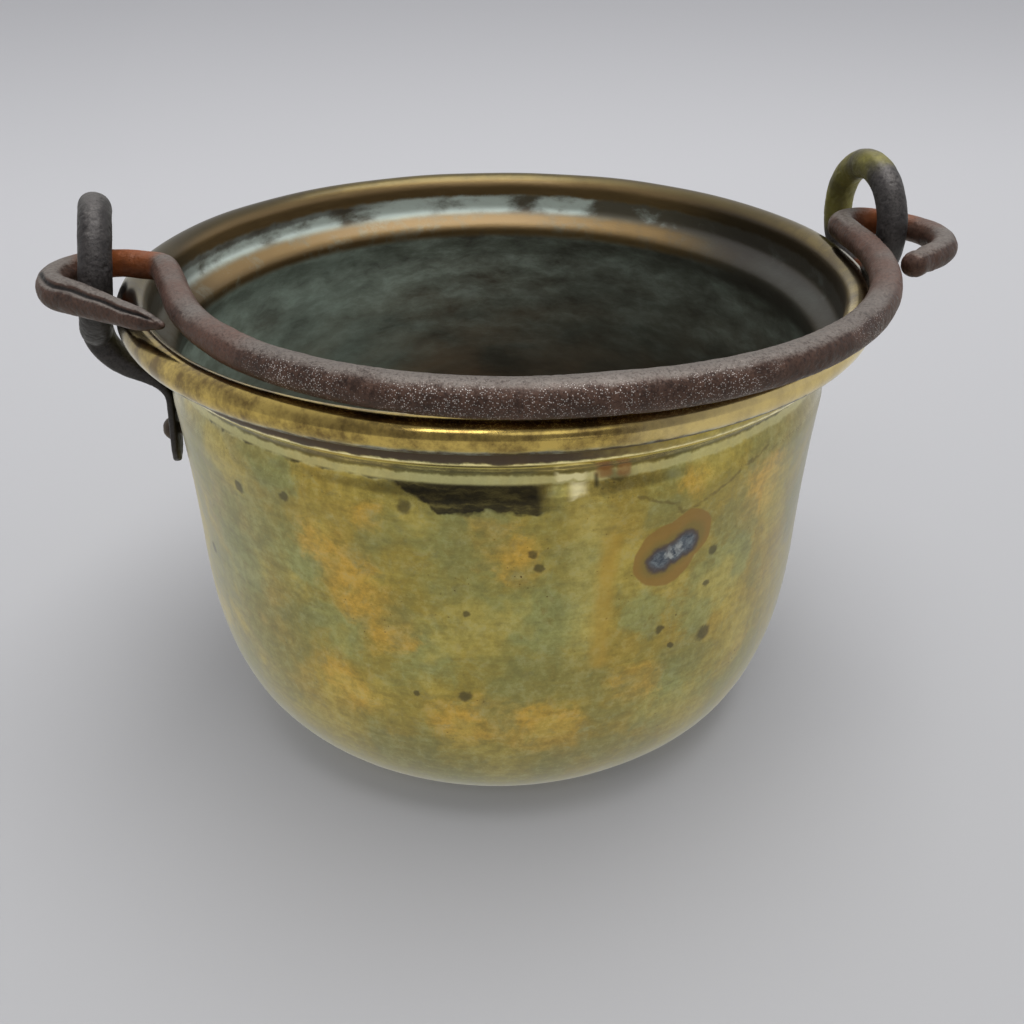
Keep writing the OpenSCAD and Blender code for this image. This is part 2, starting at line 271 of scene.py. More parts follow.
headings = [tangent(a, b) for a, b in zip(pegs, pegs[1:])]
bail_line = [(*pegs[0][:2], pegs[0][4])]
for peg, heading_in, heading_out in zip(pegs[1:-1], headings, headings[1:]):
    x, y, r, turn, dia_in, dia_out = peg
    sweep_angle = (turn * (heading_out - heading_in)) % math.tau
    steps = max(2, math.ceil(math.degrees(sweep_angle) / 2))
    for i in range(steps + 1):
        a = heading_in + turn * sweep_angle * i / steps
        dia = dia_in + (dia_out - dia_in) * i / steps
        bail_line.append((x + turn * r * math.sin(a), y - turn * r * math.cos(a), dia))
bail_line.append((*pegs[-1][:2], pegs[-1][4]))
print(len(bail_line), "points along the bail")

# %% [markdown]
# A bar is swept along such a line by extruding one ring of vertices again and again. Between two
# stations the ring is moved by a matrix that carries the old place, direction and size to the new
# one, so the rings keep their order and the skin has no twist. Stations are taken every half
# millimetre, which is fine enough to carry pits and hammer marks.

# %% Even steps along a line


def even_steps(line, step):
    """Points every step along a line of (x, y, ...) points, with the distance travelled first."""
    out, travelled, carry = [], 0.0, 0.0
    for a, b in zip(line, line[1:]):
        span = math.hypot(b[0] - a[0], b[1] - a[1])
        while carry <= span and span > 0:
            t = carry / span
            out.append((travelled + carry, *[p + (q - p) * t for p, q in zip(a, b)]))
            carry += step
        carry -= span
        travelled += span
    out.append((travelled, *line[-1]))
    return out


def rounded_ends(stations, start_r, end_r):
    """Stations as (distance, x, y, radius), with the radius closing like a ball at each end."""
    total = stations[-1][0]
    out = []
    for s, x, y, dia in stations:
        r = dia / 2
        for gap, ball in ((s, start_r), (total - s, end_r)):
            if gap < ball:
                r *= max(0.12, math.sqrt(1 - (1 - gap / ball) ** 2))
        out.append((s, x, y, r))
    return out


# %% Sweeping a ring along stations


def sweep(bm, stations, place, sides):
    """Extrudes a ring along stations. place(i) is the matrix of the unit ring at station i.
    Returns (vertex, station number, angle round the bar) for every vertex."""
    rim = bmesh.ops.create_circle(bm, cap_ends=False, radius=1.0, segments=sides)["verts"]
    bmesh.ops.transform(bm, matrix=place(0), verts=rim)
    edges = list({e for v in rim for e in v.link_edges})
    start_edges = edges
    marks = []

    def note(verts, i):
        back = place(i).inverted()
        for v in verts:
            local = back @ v.co
            marks.append((v, i, math.atan2(local.y, local.x)))

    note(rim, 0)
    for i in range(1, len(stations)):
        made = bmesh.ops.extrude_edge_only(bm, edges=edges)["geom"]
        rim = [g for g in made if isinstance(g, bmesh.types.BMVert)]
        edges = [g for g in made if isinstance(g, bmesh.types.BMEdge)
                 and all(v in set(rim) for v in g.verts)]
        bmesh.ops.transform(bm, matrix=place(i) @ place(i - 1).inverted(), verts=rim)
        note(rim, i)
    bmesh.ops.contextual_create(bm, geom=start_edges)
    bmesh.ops.contextual_create(bm, geom=edges)
    return marks


# %% [markdown]
# The bail lies flat, so each ring stands upright across the line: one of its axes points sideways and
# the other one up. The smith's hammer left the bar a little flat on top and below. Towards the left
# tip the end was drawn thin and lapped back on itself, which leaves a dark fold along the return.

# %% The forged bail
BAIL_STEP = 0.5
BAIL_SIDES = 44
bail_stations = rounded_ends(even_steps(bail_line, BAIL_STEP), 1.6, 1.8)
bail_length = bail_stations[-1][0]


def smoothed_radius(i, reach=12):
    near = bail_stations[max(0, i - reach):i + reach + 1]
    if i < 8 or i > len(bail_stations) - 9:
        return bail_stations[i][3]
    return sum(s[3] for s in near) / len(near)


def bail_place(i):
    x, y = bail_stations[i][1:3]
    before = bail_stations[max(0, i - 1)]
    after = bail_stations[min(len(bail_stations) - 1, i + 1)]
    ahead = Vector((after[1] - before[1], after[2] - before[2], 0)).normalized()
    side = Vector((-ahead.y, ahead.x, 0))
    r = smoothed_radius(i) * MM
    place = Matrix((side * r, Vector((0, 0, r)), ahead * r)).transposed().to_4x4()
    place.translation = mm(x, y, BAIL_Z)
    return place


bail_bm = bmesh.new()
bail_marks = sweep(bail_bm, bail_stations, bail_place, BAIL_SIDES)
print("bail is", round(bail_length), "mm long,", len(bail_bm.verts), "vertices")

# %% Hammer flats, the fold and pits on the bail
FOLD_ANGLE = math.radians(48)
FOLD_FROM, FOLD_TO = 3.0, 34.0


def angle_between(a, b):
    return abs((a - b + math.pi) % math.tau - math.pi)


fold_marks = []
for v, i, angle in bail_marks:
    s, x, y, _ = bail_stations[i]
    centre = mm(x, y, BAIL_Z)
    out = v.co - centre
    r = out.length / MM
    flat = 0.035 * smooth_step(0.75, 1.0, abs(math.sin(angle)))
    dents = 0.10 * noise.noise(v.co / MM / 7) + 0.05 * noise.noise(v.co / MM / 2.2)
    pit = noise.noise(v.co / MM * 1.15 + Vector((31, 0, 7)))
    pit_depth = 0.12 * smooth_step(0.22, 0.6, pit)
    along = smooth_step(FOLD_FROM - 2, FOLD_FROM + 2, s) * (1 - smooth_step(FOLD_TO - 6, FOLD_TO, s))
    wander = FOLD_ANGLE + 0.25 * noise.noise(Vector((s / 6, 4, 0)))
    fold = 0.75 * along * (1 - smooth_step(0.06, 0.24, angle_between(angle, wander)))
    keep = 1 - flat - (0.10 - dents + pit_depth + fold) / max(r, 1.2)
    keep *= 0.5 + 0.5 * smooth_step(-1, 7, s)
    v.co = centre + out * keep
    if out.z > 0:
        v.co.z += 0.10 * along * out.z
    v.co += out * 0.26 * along * max(0.0, math.cos(angle + 0.45))
    if angle_between(angle, wander) < 0.08 and FOLD_FROM < s < FOLD_TO:
        fold_marks.append((s, *(v.co / MM)))
fold_line = [mark[1:] for mark in sorted(fold_marks)[::5]]
print("fold line has", len(fold_line), "points")
bail = finish_piece("bail_bar", bail_bm, "handle", "bail")

# %% [markdown]
# An ear is a ring whose ends were welded and drawn down into a flat strap. The ring is a circle spun
# round, the neck and strap are a swept section that grows thin and wide on its way down. Both are then
# fused by a voxel remesh, which leaves the soft fillet that a forge weld has. The same ear is mirrored
# for the other side. The two rings aren't quite alike: each leans over the pot, turns and rises by its
# own small amount.

# %% Sizes of an ear, in millimetres
LEFT_FOOT_Z = POT_H + 2.8 - 11.5
RIGHT_FOOT_Z = POT_H + 4.2 - 11.5
RING_R = 11.5
RING_BAR_R = 3.1
STRAP_T = 1.8
STRAP_W = 11.0
STRAP_TOP_Z = POT_H - 24.5
STRAP_END_Z = POT_H - 39.6
STRAP_X = sheet_radius(STRAP_TOP_Z) + SHEET / 2 + 0.15 + STRAP_T / 2
STRAP_LIFT = 1.1
RIVET_Z = POT_H - 32.5
slope = STRAP_LIFT / (STRAP_TOP_Z - STRAP_END_Z)


def bezier(points, t):
    a, b, c, d = points
    return a * (1 - t) ** 3 + b * 3 * t * (1 - t) ** 2 + c * 3 * t * t * (1 - t) + d * t ** 3


def strap_and_neck(foot_z):
    """Stations (distance, x, z, share of the neck) from the strap's end up to the foot of the ring."""
    curve = [Vector((STRAP_X, STRAP_TOP_Z)), Vector((STRAP_X - 7 * slope, STRAP_TOP_Z + 7)),
             Vector((EAR_X, foot_z - 10)), Vector((EAR_X, foot_z))]
    line = []
    for i in range(30):
        p = Vector((STRAP_X + STRAP_LIFT, STRAP_END_Z)).lerp(curve[0], i / 30)
        line.append((p.x, p.y, 0.0))
    for i in range(41):
        p = bezier(curve, i / 40)
        line.append((p.x, p.y, i / 40))
    return even_steps(line, 0.5)


for foot_z in (LEFT_FOOT_Z, RIGHT_FOOT_Z):
    print("strap and neck are", round(strap_and_neck(foot_z)[-1][0], 1), "mm long")

# %% Drawing one ear


def ear_place(stations, i):
    s, x, z, up = stations[i]
    before = stations[max(0, i - 1)]
    after = stations[min(len(stations) - 1, i + 1)]
    ahead = Vector((after[1] - before[1], 0, after[2] - before[2])).normalized()
    grow = (1 - math.cos(math.pi * up)) / 2
    half_t = (STRAP_T + (2 * RING_BAR_R - STRAP_T) * grow) / 2
    half_w = STRAP_W / 2 + (RING_BAR_R - STRAP_W / 2) * min(1.0, up * 1.15)
    from_end = min(1.0, (s + 0.15) / (STRAP_W / 2))
    half_w *= math.sqrt(1 - (1 - from_end) ** 2)
    thick = Vector((ahead.z, 0, -ahead.x)) * half_t * MM
    place = Matrix((thick, Vector((0, half_w * MM, 0)), ahead * MM)).transposed().to_4x4()
    place.translation = mm(x, 0, z)
    return place


def forge_ear(name, side, foot_z, ring_turn, ring_lean, seed):
    bm = bmesh.new()
    stations = strap_and_neck(foot_z)
    for v, i, angle in sweep(bm, stations, lambda i: ear_place(stations, i), 40):
        power = 5 - 2.6 * smooth_step(0.2, 0.9, stations[i][3])
        c, n = abs(math.cos(angle)), abs(math.sin(angle))
        square = (c ** power + n ** power) ** (-1 / power)
        centre = mm(stations[i][1], 0, stations[i][2])
        v.co = centre + (v.co - centre) * min(square, 1.35)
    strap_verts = set(bm.verts)
    section = bmesh.ops.create_circle(bm, cap_ends=False, radius=RING_BAR_R * MM, segments=40)["verts"]
    bmesh.ops.transform(bm, matrix=Matrix.Translation(mm(0, 0, 2 * RING_R)) @
                        Matrix.Rotation(math.pi / 2, 4, "X"), verts=section)
    edges = list({e for v in section for e in v.link_edges})
    bmesh.ops.spin(bm, geom=section + edges, cent=mm(0, 0, RING_R), axis=(1, 0, 0),
                   dvec=(0, 0, 0), angle=math.tau, steps=140, use_merge=True)
    ring_verts = [v for v in bm.verts if v not in strap_verts]
    bmesh.ops.transform(bm, matrix=Matrix.Translation(mm(EAR_X, 0, foot_z)) @
                        Matrix.Rotation(math.radians(ring_turn), 4, "Z") @
                        Matrix.Rotation(math.radians(-ring_lean), 4, "Y"), verts=ring_verts)
    bmesh.ops.remove_doubles(bm, verts=bm.verts, dist=1e-6)
    bmesh.ops.recalc_face_normals(bm, faces=bm.faces)
    rough = bpy.data.meshes.new(name + "_rough")
    bm.to_mesh(rough)
    bm.free()
    holder = bpy.data.objects.new(name + "_rough", rough)
    bpy.context.scene.collection.objects.link(holder)
    remesh = holder.modifiers.new("forge weld", "REMESH")
    remesh.mode = "VOXEL"
    remesh.voxel_size = 0.3 * MM
    fused = bpy.data.meshes.new_from_object(
        holder.evaluated_get(bpy.context.evaluated_depsgraph_get()))
    bpy.data.objects.remove(holder)
    bm = bmesh.new()
    bm.from_mesh(fused)
    for _ in range(5):
        bmesh.ops.smooth_vert(bm, verts=bm.verts, factor=0.5, use_axis_x=True, use_axis_y=True,
                              use_axis_z=True)
    bm.normal_update()
    moves = []
    for v in bm.verts:
        at = v.co / MM + Vector((seed, 0, 0))
        dent = 0.10 * noise.noise(at / 5) + 0.05 * noise.noise(at / 1.8)
        pit = 0.10 * smooth_step(0.25, 0.6, noise.noise(at * 1.1))
        moves.append(v.normal * MM * (dent - pit - 0.04))
    for v, move in zip(bm.verts, moves):
        v.co += move
    if side < 0:
        bmesh.ops.mirror(bm, geom=bm.verts[:] + bm.edges[:] + bm.faces[:], axis="X", merge_dist=-1)
        bmesh.ops.delete(bm, geom=[v for v in bm.verts if v.co.x > 0], context="VERTS")
    return finish_piece(name, bm, "pot", "left_ear" if side < 0 else "right_ear")


left_ear = forge_ear("left_ear_iron", -1, LEFT_FOOT_Z, -8, 10.3, 40)
right_ear = forge_ear("right_ear_iron", 1, RIGHT_FOOT_Z, 2, 2.8, 0)

# %% [markdown]
# A rivet's head was a plain plug that the hammer spread into a low dome, outside and inside. It is
# spun from a short profile and then pushed about a little, so that its edge isn't a perfect circle.

# %% The two rivets
HEAD_R, HEAD_H, PEEN_R, PEEN_H, SHANK_R = 2.5, 1.8, 2.3, 1.1, 1.3
head_x = STRAP_X + slope * (STRAP_TOP_Z - RIVET_Z) + STRAP_T / 2 + 0.04
peen_x = sheet_radius(RIVET_Z) - SHEET / 2 - 0.06


def hammer_rivet(name, side, seed):
    bm = bmesh.new()
    outline = []
    for i in range(15):
        a = math.pi / 2 * i / 14
        outline.append((head_x + HEAD_H * math.cos(a) ** 1.2 * 0.93, HEAD_R * math.sin(a) ** 0.9))
    outline += [(head_x, HEAD_R * 0.97), (head_x, SHANK_R), (peen_x, SHANK_R), (peen_x, PEEN_R * 0.97)]
    for i in range(11):
        a = math.pi / 2 * i / 10
        outline.append((peen_x - PEEN_H * math.sin(a) * 0.93, PEEN_R * math.cos(a)))
    verts = [bm.verts.new(mm(x, 0, RIVET_Z + max(0.0, r))) for x, r in outline]
    edges = [bm.edges.new(pair) for pair in zip(verts, verts[1:])]
    bmesh.ops.spin(bm, geom=verts + edges, cent=mm(0, 0, RIVET_Z), axis=(1, 0, 0), dvec=(0, 0, 0),
                   angle=math.tau, steps=48, use_merge=True)
    bmesh.ops.remove_doubles(bm, verts=bm.verts, dist=1e-6)
    for v in bm.verts:
        out = v.co - mm(v.co.x / MM, 0, RIVET_Z)
        at = v.co / MM + Vector((seed, 0, 0))
        v.co -= out * 0.07 * (0.5 + 0.5 * noise.noise(at / 1.6))
        if v.co.x > mm(head_x + 0.3, 0, 0).x:
            v.co.x -= MM * 0.18 * (0.5 + 0.5 * noise.noise(at / 1.3))
        if side < 0:
            v.co.x = -v.co.x
    return finish_piece(name, bm, "pot", "left_rivet" if side < 0 else "right_rivet")


left_rivet = hammer_rivet("left_rivet_iron", -1, 3)
right_rivet = hammer_rivet("right_rivet_iron", 1, 11)

# %% [markdown]
# Materials are trees of nodes. One small function adds a node, sets what it is told and joins what it
# is given, and everything else is written out, so that each finish can be read from top to bottom.

# %% Adding a node


def add(tree, kind, links=None, **settings):
    """A node of that kind. links maps an input to a value or to another node's output."""
    made = tree.nodes.new(kind)
    for key, value in settings.items():
        setattr(made, key, value)
    for key, value in (links or {}).items():
        if isinstance(value, bpy.types.NodeSocket):
            tree.links.new(value, made.inputs[key])
        else:
            made.inputs[key].default_value = value
    return made


def new_material(name):
    material = bpy.data.materials.new(name)
    material.use_nodes = True
    material.node_tree.nodes.clear()
    return material, material.node_tree


def per_mm(size):
    """Scale of a pattern whose features are that many millimetres across."""
    return 1000.0 / size


# %% [markdown]
# The outside is spun brass sheet, polished long ago and now tarnished. Brass is copper and zinc, so it
# browns to gold and orange where it is dry and goes green-grey where it was damp. The inside was
# never polished: it is dark with a bloom of verdigris. The rim and the ridge at the neck are rubbed
# bright by lids and spoons. All of it is one material, and the number inside chooses between them.
# Helpers make the masks: a coordinate that is shaken by noise gives an even shape a ragged edge.

# %% Masks for marks and stains


def shaken(tree, source, size, amount):
    """A coordinate pushed about by noise of that size, by up to half of that amount, in mm."""
    push = add(tree, "ShaderNodeTexNoise", {"Vector": source, "Scale": per_mm(size), "Detail": 3.0})
    push = add(tree, "ShaderNodeVectorMath", {0: push.outputs["Color"], 1: (0.5, 0.5, 0.5)},
               operation="SUBTRACT")
    push = add(tree, "ShaderNodeVectorMath", {0: push.outputs[0], "Scale": amount * MM}, operation="SCALE")
    return add(tree, "ShaderNodeVectorMath", {0: source, 1: push.outputs[0]}, operation="ADD").outputs[0]


def patches(tree, points, source, edge):
    """1 in the middle of each (x, y, z, radius) patch and 0 outside it, as one output."""
    total = None
    for x, y, z, r in points:
        away = add(tree, "ShaderNodeVectorMath", {0: source, 1: mm(x, y, z)}, operation="DISTANCE")
        one = add(tree, "ShaderNodeMapRange", {"Value": away.outputs["Value"], "From Min": r * MM,
                                               "From Max": r * MM * edge, "To Min": 0.0,
                                               "To Max": 1.0}, interpolation_type="SMOOTHSTEP")
        if total is None:
            total = one.outputs[0]
        else:
            total = add(tree, "ShaderNodeMath", {0: total, 1: one.outputs[0]},
                        operation="MAXIMUM").outputs[0]
    return total


def line_mask(tree, points, width, source):
    """1 along a line of (x, y, z) points in millimetres and 0 away from it."""
    total = None
    for a, b in zip(points, points[1:]):
        start, span = mm(*a), mm(*b) - mm(*a)
        out = add(tree, "ShaderNodeVectorMath", {0: source, 1: start}, operation="SUBTRACT")
        dot = add(tree, "ShaderNodeVectorMath", {0: out.outputs[0], 1: span / span.length_squared},
                  operation="DOT_PRODUCT")
        held = add(tree, "ShaderNodeClamp", {"Value": dot.outputs["Value"]})
        near = add(tree, "ShaderNodeVectorMath", {0: span, "Scale": held.outputs[0]}, operation="SCALE")
        away = add(tree, "ShaderNodeVectorMath", {0: out.outputs[0], 1: near.outputs[0]},
                   operation="DISTANCE")
        one = add(tree, "ShaderNodeMapRange", {"Value": away.outputs["Value"], "From Min": width * MM,
                                               "From Max": width * MM * 0.3, "To Min": 0.0,
                                               "To Max": 1.0})
        total = one.outputs[0] if total is None else add(
            tree, "ShaderNodeMath", {0: total, 1: one.outputs[0]}, operation="MAXIMUM").outputs[0]
    return total


def band(tree, value, low, high, soft):
    """1 where a value lies between low and high, easing to 0 over soft at either side."""
    rise = add(tree, "ShaderNodeMapRange", {"Value": value, "From Min": low - soft,
                                            "From Max": low + soft}, interpolation_type="SMOOTHSTEP")
    fall = add(tree, "ShaderNodeMapRange", {"Value": value, "From Min": high + soft,
                                            "From Max": high - soft}, interpolation_type="SMOOTHSTEP")
    return add(tree, "ShaderNodeMath", {0: rise.outputs[0], 1: fall.outputs[0]},
               operation="MULTIPLY").outputs[0]


def product(tree, *values):
    """All the values multiplied together, as one output."""
    total = values[0]
    for value in values[1:]:
        total = add(tree, "ShaderNodeMath", {0: total, 1: value}, operation="MULTIPLY").outputs[0]
    return total


def paint(tree, under, share, colour):
    """A colour laid over what is under it, by that share."""
    return add(tree, "ShaderNodeMix", {0: share, 6: under, 7: colour}, data_type="RGBA").outputs[2]


# %% Brass: where a point lies on the pot
brass, tree = new_material("spun_brass_sheet_aged")
where = add(tree, "ShaderNodeTexCoord").outputs["Object"]
wavy = shaken(tree, where, 9, 9)
dented = shaken(tree, where, 7, 3)
ragged = shaken(tree, where, 1.6, 1.4)
place = add(tree, "ShaderNodeSeparateXYZ", {"Vector": where})
height = place.outputs["Z"]
ahead = add(tree, "ShaderNodeMath", {0: place.outputs["Y"], 1: -1.0}, operation="MULTIPLY")
azimuth = add(tree, "ShaderNodeMath", {0: place.outputs["X"], 1: ahead.outputs[0]},
              operation="ARCTAN2").outputs[0]
uneven = add(tree, "ShaderNodeTexNoise", {"Vector": where, "Scale": per_mm(3.5), "Detail": 4.0,
                                          "Roughness": 0.65})
level = add(tree, "ShaderNodeMapRange", {"Value": uneven.outputs["Fac"], "To Min": -0.9 * MM,
                                         "To Max": 0.9 * MM})
level = add(tree, "ShaderNodeMath", {0: height, 1: level.outputs[0]}, operation="ADD").outputs[0]
round_pot = add(tree, "ShaderNodeMapRange", {"Value": uneven.outputs["Fac"], "To Min": -0.12,
                                             "To Max": 0.12})
round_pot = add(tree, "ShaderNodeMath", {0: azimuth, 1: round_pot.outputs[0]}, operation="ADD").outputs[0]

# %% Brass: cloudy tarnish on the outside, with painted sheen and shade at the flanks, a painted window reflection, and darker towards the bottom
cloud = add(tree, "ShaderNodeTexNoise", {"Vector": wavy, "Scale": per_mm(7), "Detail": 7.0,
                                         "Roughness": 0.72})
grain = add(tree, "ShaderNodeTexNoise", {"Vector": where, "Scale": per_mm(2.2), "Detail": 6.0,
                                         "Roughness": 0.75})
blotch = add(tree, "ShaderNodeTexNoise", {"Vector": wavy, "Scale": per_mm(26), "Detail": 5.0,
                                          "Roughness": 0.66})
outside = add(tree, "ShaderNodeValToRGB", {"Fac": blotch.outputs["Fac"]})
outside.color_ramp.elements[0].position = 0.36
outside.color_ramp.elements[0].color = srgb("#a29d5b")
outside.color_ramp.elements[1].position = 0.64
outside.color_ramp.elements[1].color = srgb("#b69c48")
outside.color_ramp.elements.new(0.5).color = srgb("#aa9849")
outside = outside.outputs[0]


def clouded(mask, low, high):
    """A soft mask broken up by cloudy and grainy noise, so that it reads as tarnish."""
    broken = add(tree, "ShaderNodeMath", {0: cloud.outputs["Fac"], 1: 2.2, 2: mask},
                 operation="MULTIPLY_ADD")
    broken = add(tree, "ShaderNodeMath", {0: grain.outputs["Fac"], 1: 0.5, 2: broken.outputs[0]},
                 operation="MULTIPLY_ADD")
    return add(tree, "ShaderNodeMapRange", {"Value": broken.outputs[0], "From Min": low,
                                            "From Max": high, "To Min": 0.0, "To Max": 0.75},
               interpolation_type="SMOOTHSTEP").outputs[0]


orange_patches = patches(tree, [
    (-38, -56, 64, 13), (-34, -58, 57, 12), (-42, -53, 67, 9), (-38, -55, 36, 12), (-17, -64, 32, 14),
    (-8, -66, 31, 13), (-1, -66, 28, 12), (15, -65, 37, 10), (-32, -60, 76, 7), (40, -55, 72, 13),
    (-13, -67, 75, 8), (-10, -67, 69, 10), (24, -64, 79, 7), (-30, -60, 50, 10),
    (60, 30, 60, 16), (30, 60, 50, 18), (-20, 64, 60, 16), (-60, 30, 45, 16), (66, -10, 40, 14),
], wavy, 0.0)
green_patches = patches(tree, [
    (-39, -55, 49, 12), (-25, -62, 48, 12), (-3, -67, 55, 13), (-45, -51, 62, 10), (-56, -37, 55, 14),
    (27, -62, 52, 13), (21, -63, 30, 14), (15, -66, 54, 9), (33, -59, 58, 13), (-48, -48, 79, 9),
    (62, -26, 50, 20), (50, 44, 70, 17), (0, 67, 45, 20), (-45, 50, 70, 17), (-66, 5, 60, 14),
], wavy, 0.0)
outside = paint(tree, outside, clouded(green_patches, 1.5, 2.2), srgb("#a3a669"))
outside = paint(tree, outside, clouded(orange_patches, 1.6, 2.35), srgb("#deb04a"))
outside = paint(tree, outside, clouded(0.0, 1.45, 1.8), srgb("#877a3c"))
# Painted sheen: the flanks, seen at a grazing angle, are painted pale grey for the reflection of the pale
# room there.
painted_edge_sheen = band(tree, azimuth, math.radians(-50), math.radians(54), math.radians(14))
painted_edge_sheen = add(tree, "ShaderNodeMapRange", {"Value": painted_edge_sheen, "To Min": 0.45, "To Max": 0.0})
outside = paint(tree, outside, painted_edge_sheen.outputs[0], srgb("#a09e83"))
broad = add(tree, "ShaderNodeTexNoise", {"Vector": dented, "Scale": per_mm(15), "Detail": 3.0,
                                         "Roughness": 0.5})
shade = add(tree, "ShaderNodeMapRange", {"Value": broad.outputs["Fac"], "From Min": 0.50,
                                         "From Max": 0.40, "To Min": 0.0, "To Max": 0.5},
            interpolation_type="SMOOTHSTEP")
outside = paint(tree, outside, shade.outputs[0], srgb("#8b8c58"))
sunny = add(tree, "ShaderNodeMapRange", {"Value": broad.outputs["Fac"], "From Min": 0.52,
                                         "From Max": 0.62, "To Min": 0.0, "To Max": 0.5},
            interpolation_type="SMOOTHSTEP")
outside = paint(tree, outside, sunny.outputs[0], srgb("#cfb95c"))
# Painted shade: the right flank is painted a darker grey.
painted_right_shade = product(tree, band(tree, azimuth, math.radians(46), math.radians(150), math.radians(16)), 0.62)
outside = paint(tree, outside, painted_right_shade, srgb("#747266"))
# Painted reflection: a pale vertical band where a window's reflection runs down the wall.
painted_window_reflection = product(tree, band(tree, azimuth, math.radians(0.5), math.radians(6.0), math.radians(1.8)),
                       band(tree, height, 46 * MM, 79 * MM, 6 * MM), 0.35)
outside = paint(tree, outside, painted_window_reflection, srgb("#dccf7c"))
low_down = add(tree, "ShaderNodeMapRange", {"Value": level, "From Min": 34 * MM, "From Max": 8 * MM,
                                            "To Min": 0.0, "To Max": 0.82})
outside = paint(tree, outside, low_down.outputs[0], srgb("#7f7b4e"))
mottle = add(tree, "ShaderNodeTexNoise", {"Vector": wavy, "Scale": per_mm(3.2), "Detail": 6.0,
                                          "Roughness": 0.7})
pale_flecks = add(tree, "ShaderNodeMapRange", {"Value": mottle.outputs["Fac"], "From Min": 0.52,
                                               "From Max": 0.70, "To Min": 0.0, "To Max": 0.3})
outside = paint(tree, outside, pale_flecks.outputs[0], srgb("#a9ab80"))
brown_flecks = add(tree, "ShaderNodeMapRange", {"Value": mottle.outputs["Fac"], "From Min": 0.47,
                                                "From Max": 0.32, "To Min": 0.0, "To Max": 0.3})
outside = paint(tree, outside, brown_flecks.outputs[0], srgb("#8f7a38"))
brushed = add(tree, "ShaderNodeVectorMath", {0: where, 1: (0.04, 0.04, 1.0)}, operation="MULTIPLY")
brushed = add(tree, "ShaderNodeTexNoise", {"Vector": brushed.outputs[0], "Scale": per_mm(0.8),
                                           "Detail": 3.0})
dust = add(tree, "ShaderNodeMath", {0: grain.outputs["Fac"], 1: 0.6, 2: 0.2}, operation="MULTIPLY_ADD")
dust = add(tree, "ShaderNodeMath", {0: brushed.outputs["Fac"], 1: 0.15, 2: dust.outputs[0]},
           operation="MULTIPLY_ADD")
dust = add(tree, "ShaderNodeMapRange", {"Value": dust.outputs[0], "From Min": 0.47, "From Max": 0.62,
                                        "To Min": 0.42, "To Max": 0.0})
outside = paint(tree, outside, dust.outputs[0], srgb("#544c2c"))
pale_dust = add(tree, "ShaderNodeMapRange", {"Value": grain.outputs["Fac"], "From Min": 0.52,
                                             "From Max": 0.66, "To Min": 0.0, "To Max": 0.16})
outside = paint(tree, outside, pale_dust.outputs[0], srgb("#c8c8a2"))

# %% [markdown]
# Small marks come next: brown specks where the lacquer of old polish broke, a dozen round dark spots
# where drops dried, one large heat mark with a brown halo and a blue-grey middle, a fine dried drip
# and a yellow streak where the wall was scoured. They are placed one by one on the wall.

# %% Brass: specks and round spots
cells = add(tree, "ShaderNodeTexVoronoi", {"Vector": ragged, "Scale": per_mm(1.1)})
speck = add(tree, "ShaderNodeMapRange", {"Value": cells.outputs["Distance"], "From Min": 0.2,
                                         "From Max": 0.08, "To Min": 0.0, "To Max": 1.0})
crowd = add(tree, "ShaderNodeTexNoise", {"Vector": where, "Scale": per_mm(13), "Detail": 3.0})
crowd = add(tree, "ShaderNodeMapRange", {"Value": crowd.outputs["Fac"], "From Min": 0.52,
                                         "From Max": 0.66, "To Min": 0.0, "To Max": 0.8})
crowded = patches(tree, [(-9, -67, 68, 10), (-4, -67, 62, 8), (-20, -64, 62, 9), (8, -67, 60, 8)],
                  wavy, 0.2)
crowd = add(tree, "ShaderNodeMath", {0: crowd.outputs[0], 1: crowded}, operation="MAXIMUM")
chosen = add(tree, "ShaderNodeSeparateColor", {"Color": cells.outputs["Color"]})
chosen = add(tree, "ShaderNodeMath", {0: chosen.outputs[0], 1: 0.72}, operation="GREATER_THAN")
specks = product(tree, speck.outputs[0], crowd.outputs[0], chosen.outputs[0])
outside = paint(tree, outside, specks, srgb("#5a431c"))
spots = patches(tree, [
    (-26.6, -62.9, 78.5, 1.7), (-46.1, -50.4, 75.4, 1.4), (-17.6, -64.6, 38.5, 1.6),
    (-4.7, -67.8, 66.8, 1.3), (-5.9, -67.8, 69.8, 1.2), (28.7, -60.7, 43.4, 2.2),
    (28.8, -61.4, 62.6, 1.5), (-17.1, -65.4, 57.3, 1.0), (-54.3, -41.3, 73.0, 1.6),
    (28.0, -61.5, 55.2, 1.2), (18.6, -64.7, 48.5, 1.3), (21.2, -63.7, 43.8, 0.9),
    (-25.9, -61.6, 37.8, 1.0), (-41.0, 52.0, 60.0, 2.0), (12.0, 67.0, 52.0, 1.6),
    (52.0, 43.0, 66.0, 1.5), (64.0, 20.0, 48.0, 1.8), (-62.0, -24.0, 50.0, 1.7),
], ragged, 0.5)
outside = paint(tree, outside, product(tree, spots, 0.75), srgb("#4a432b"))

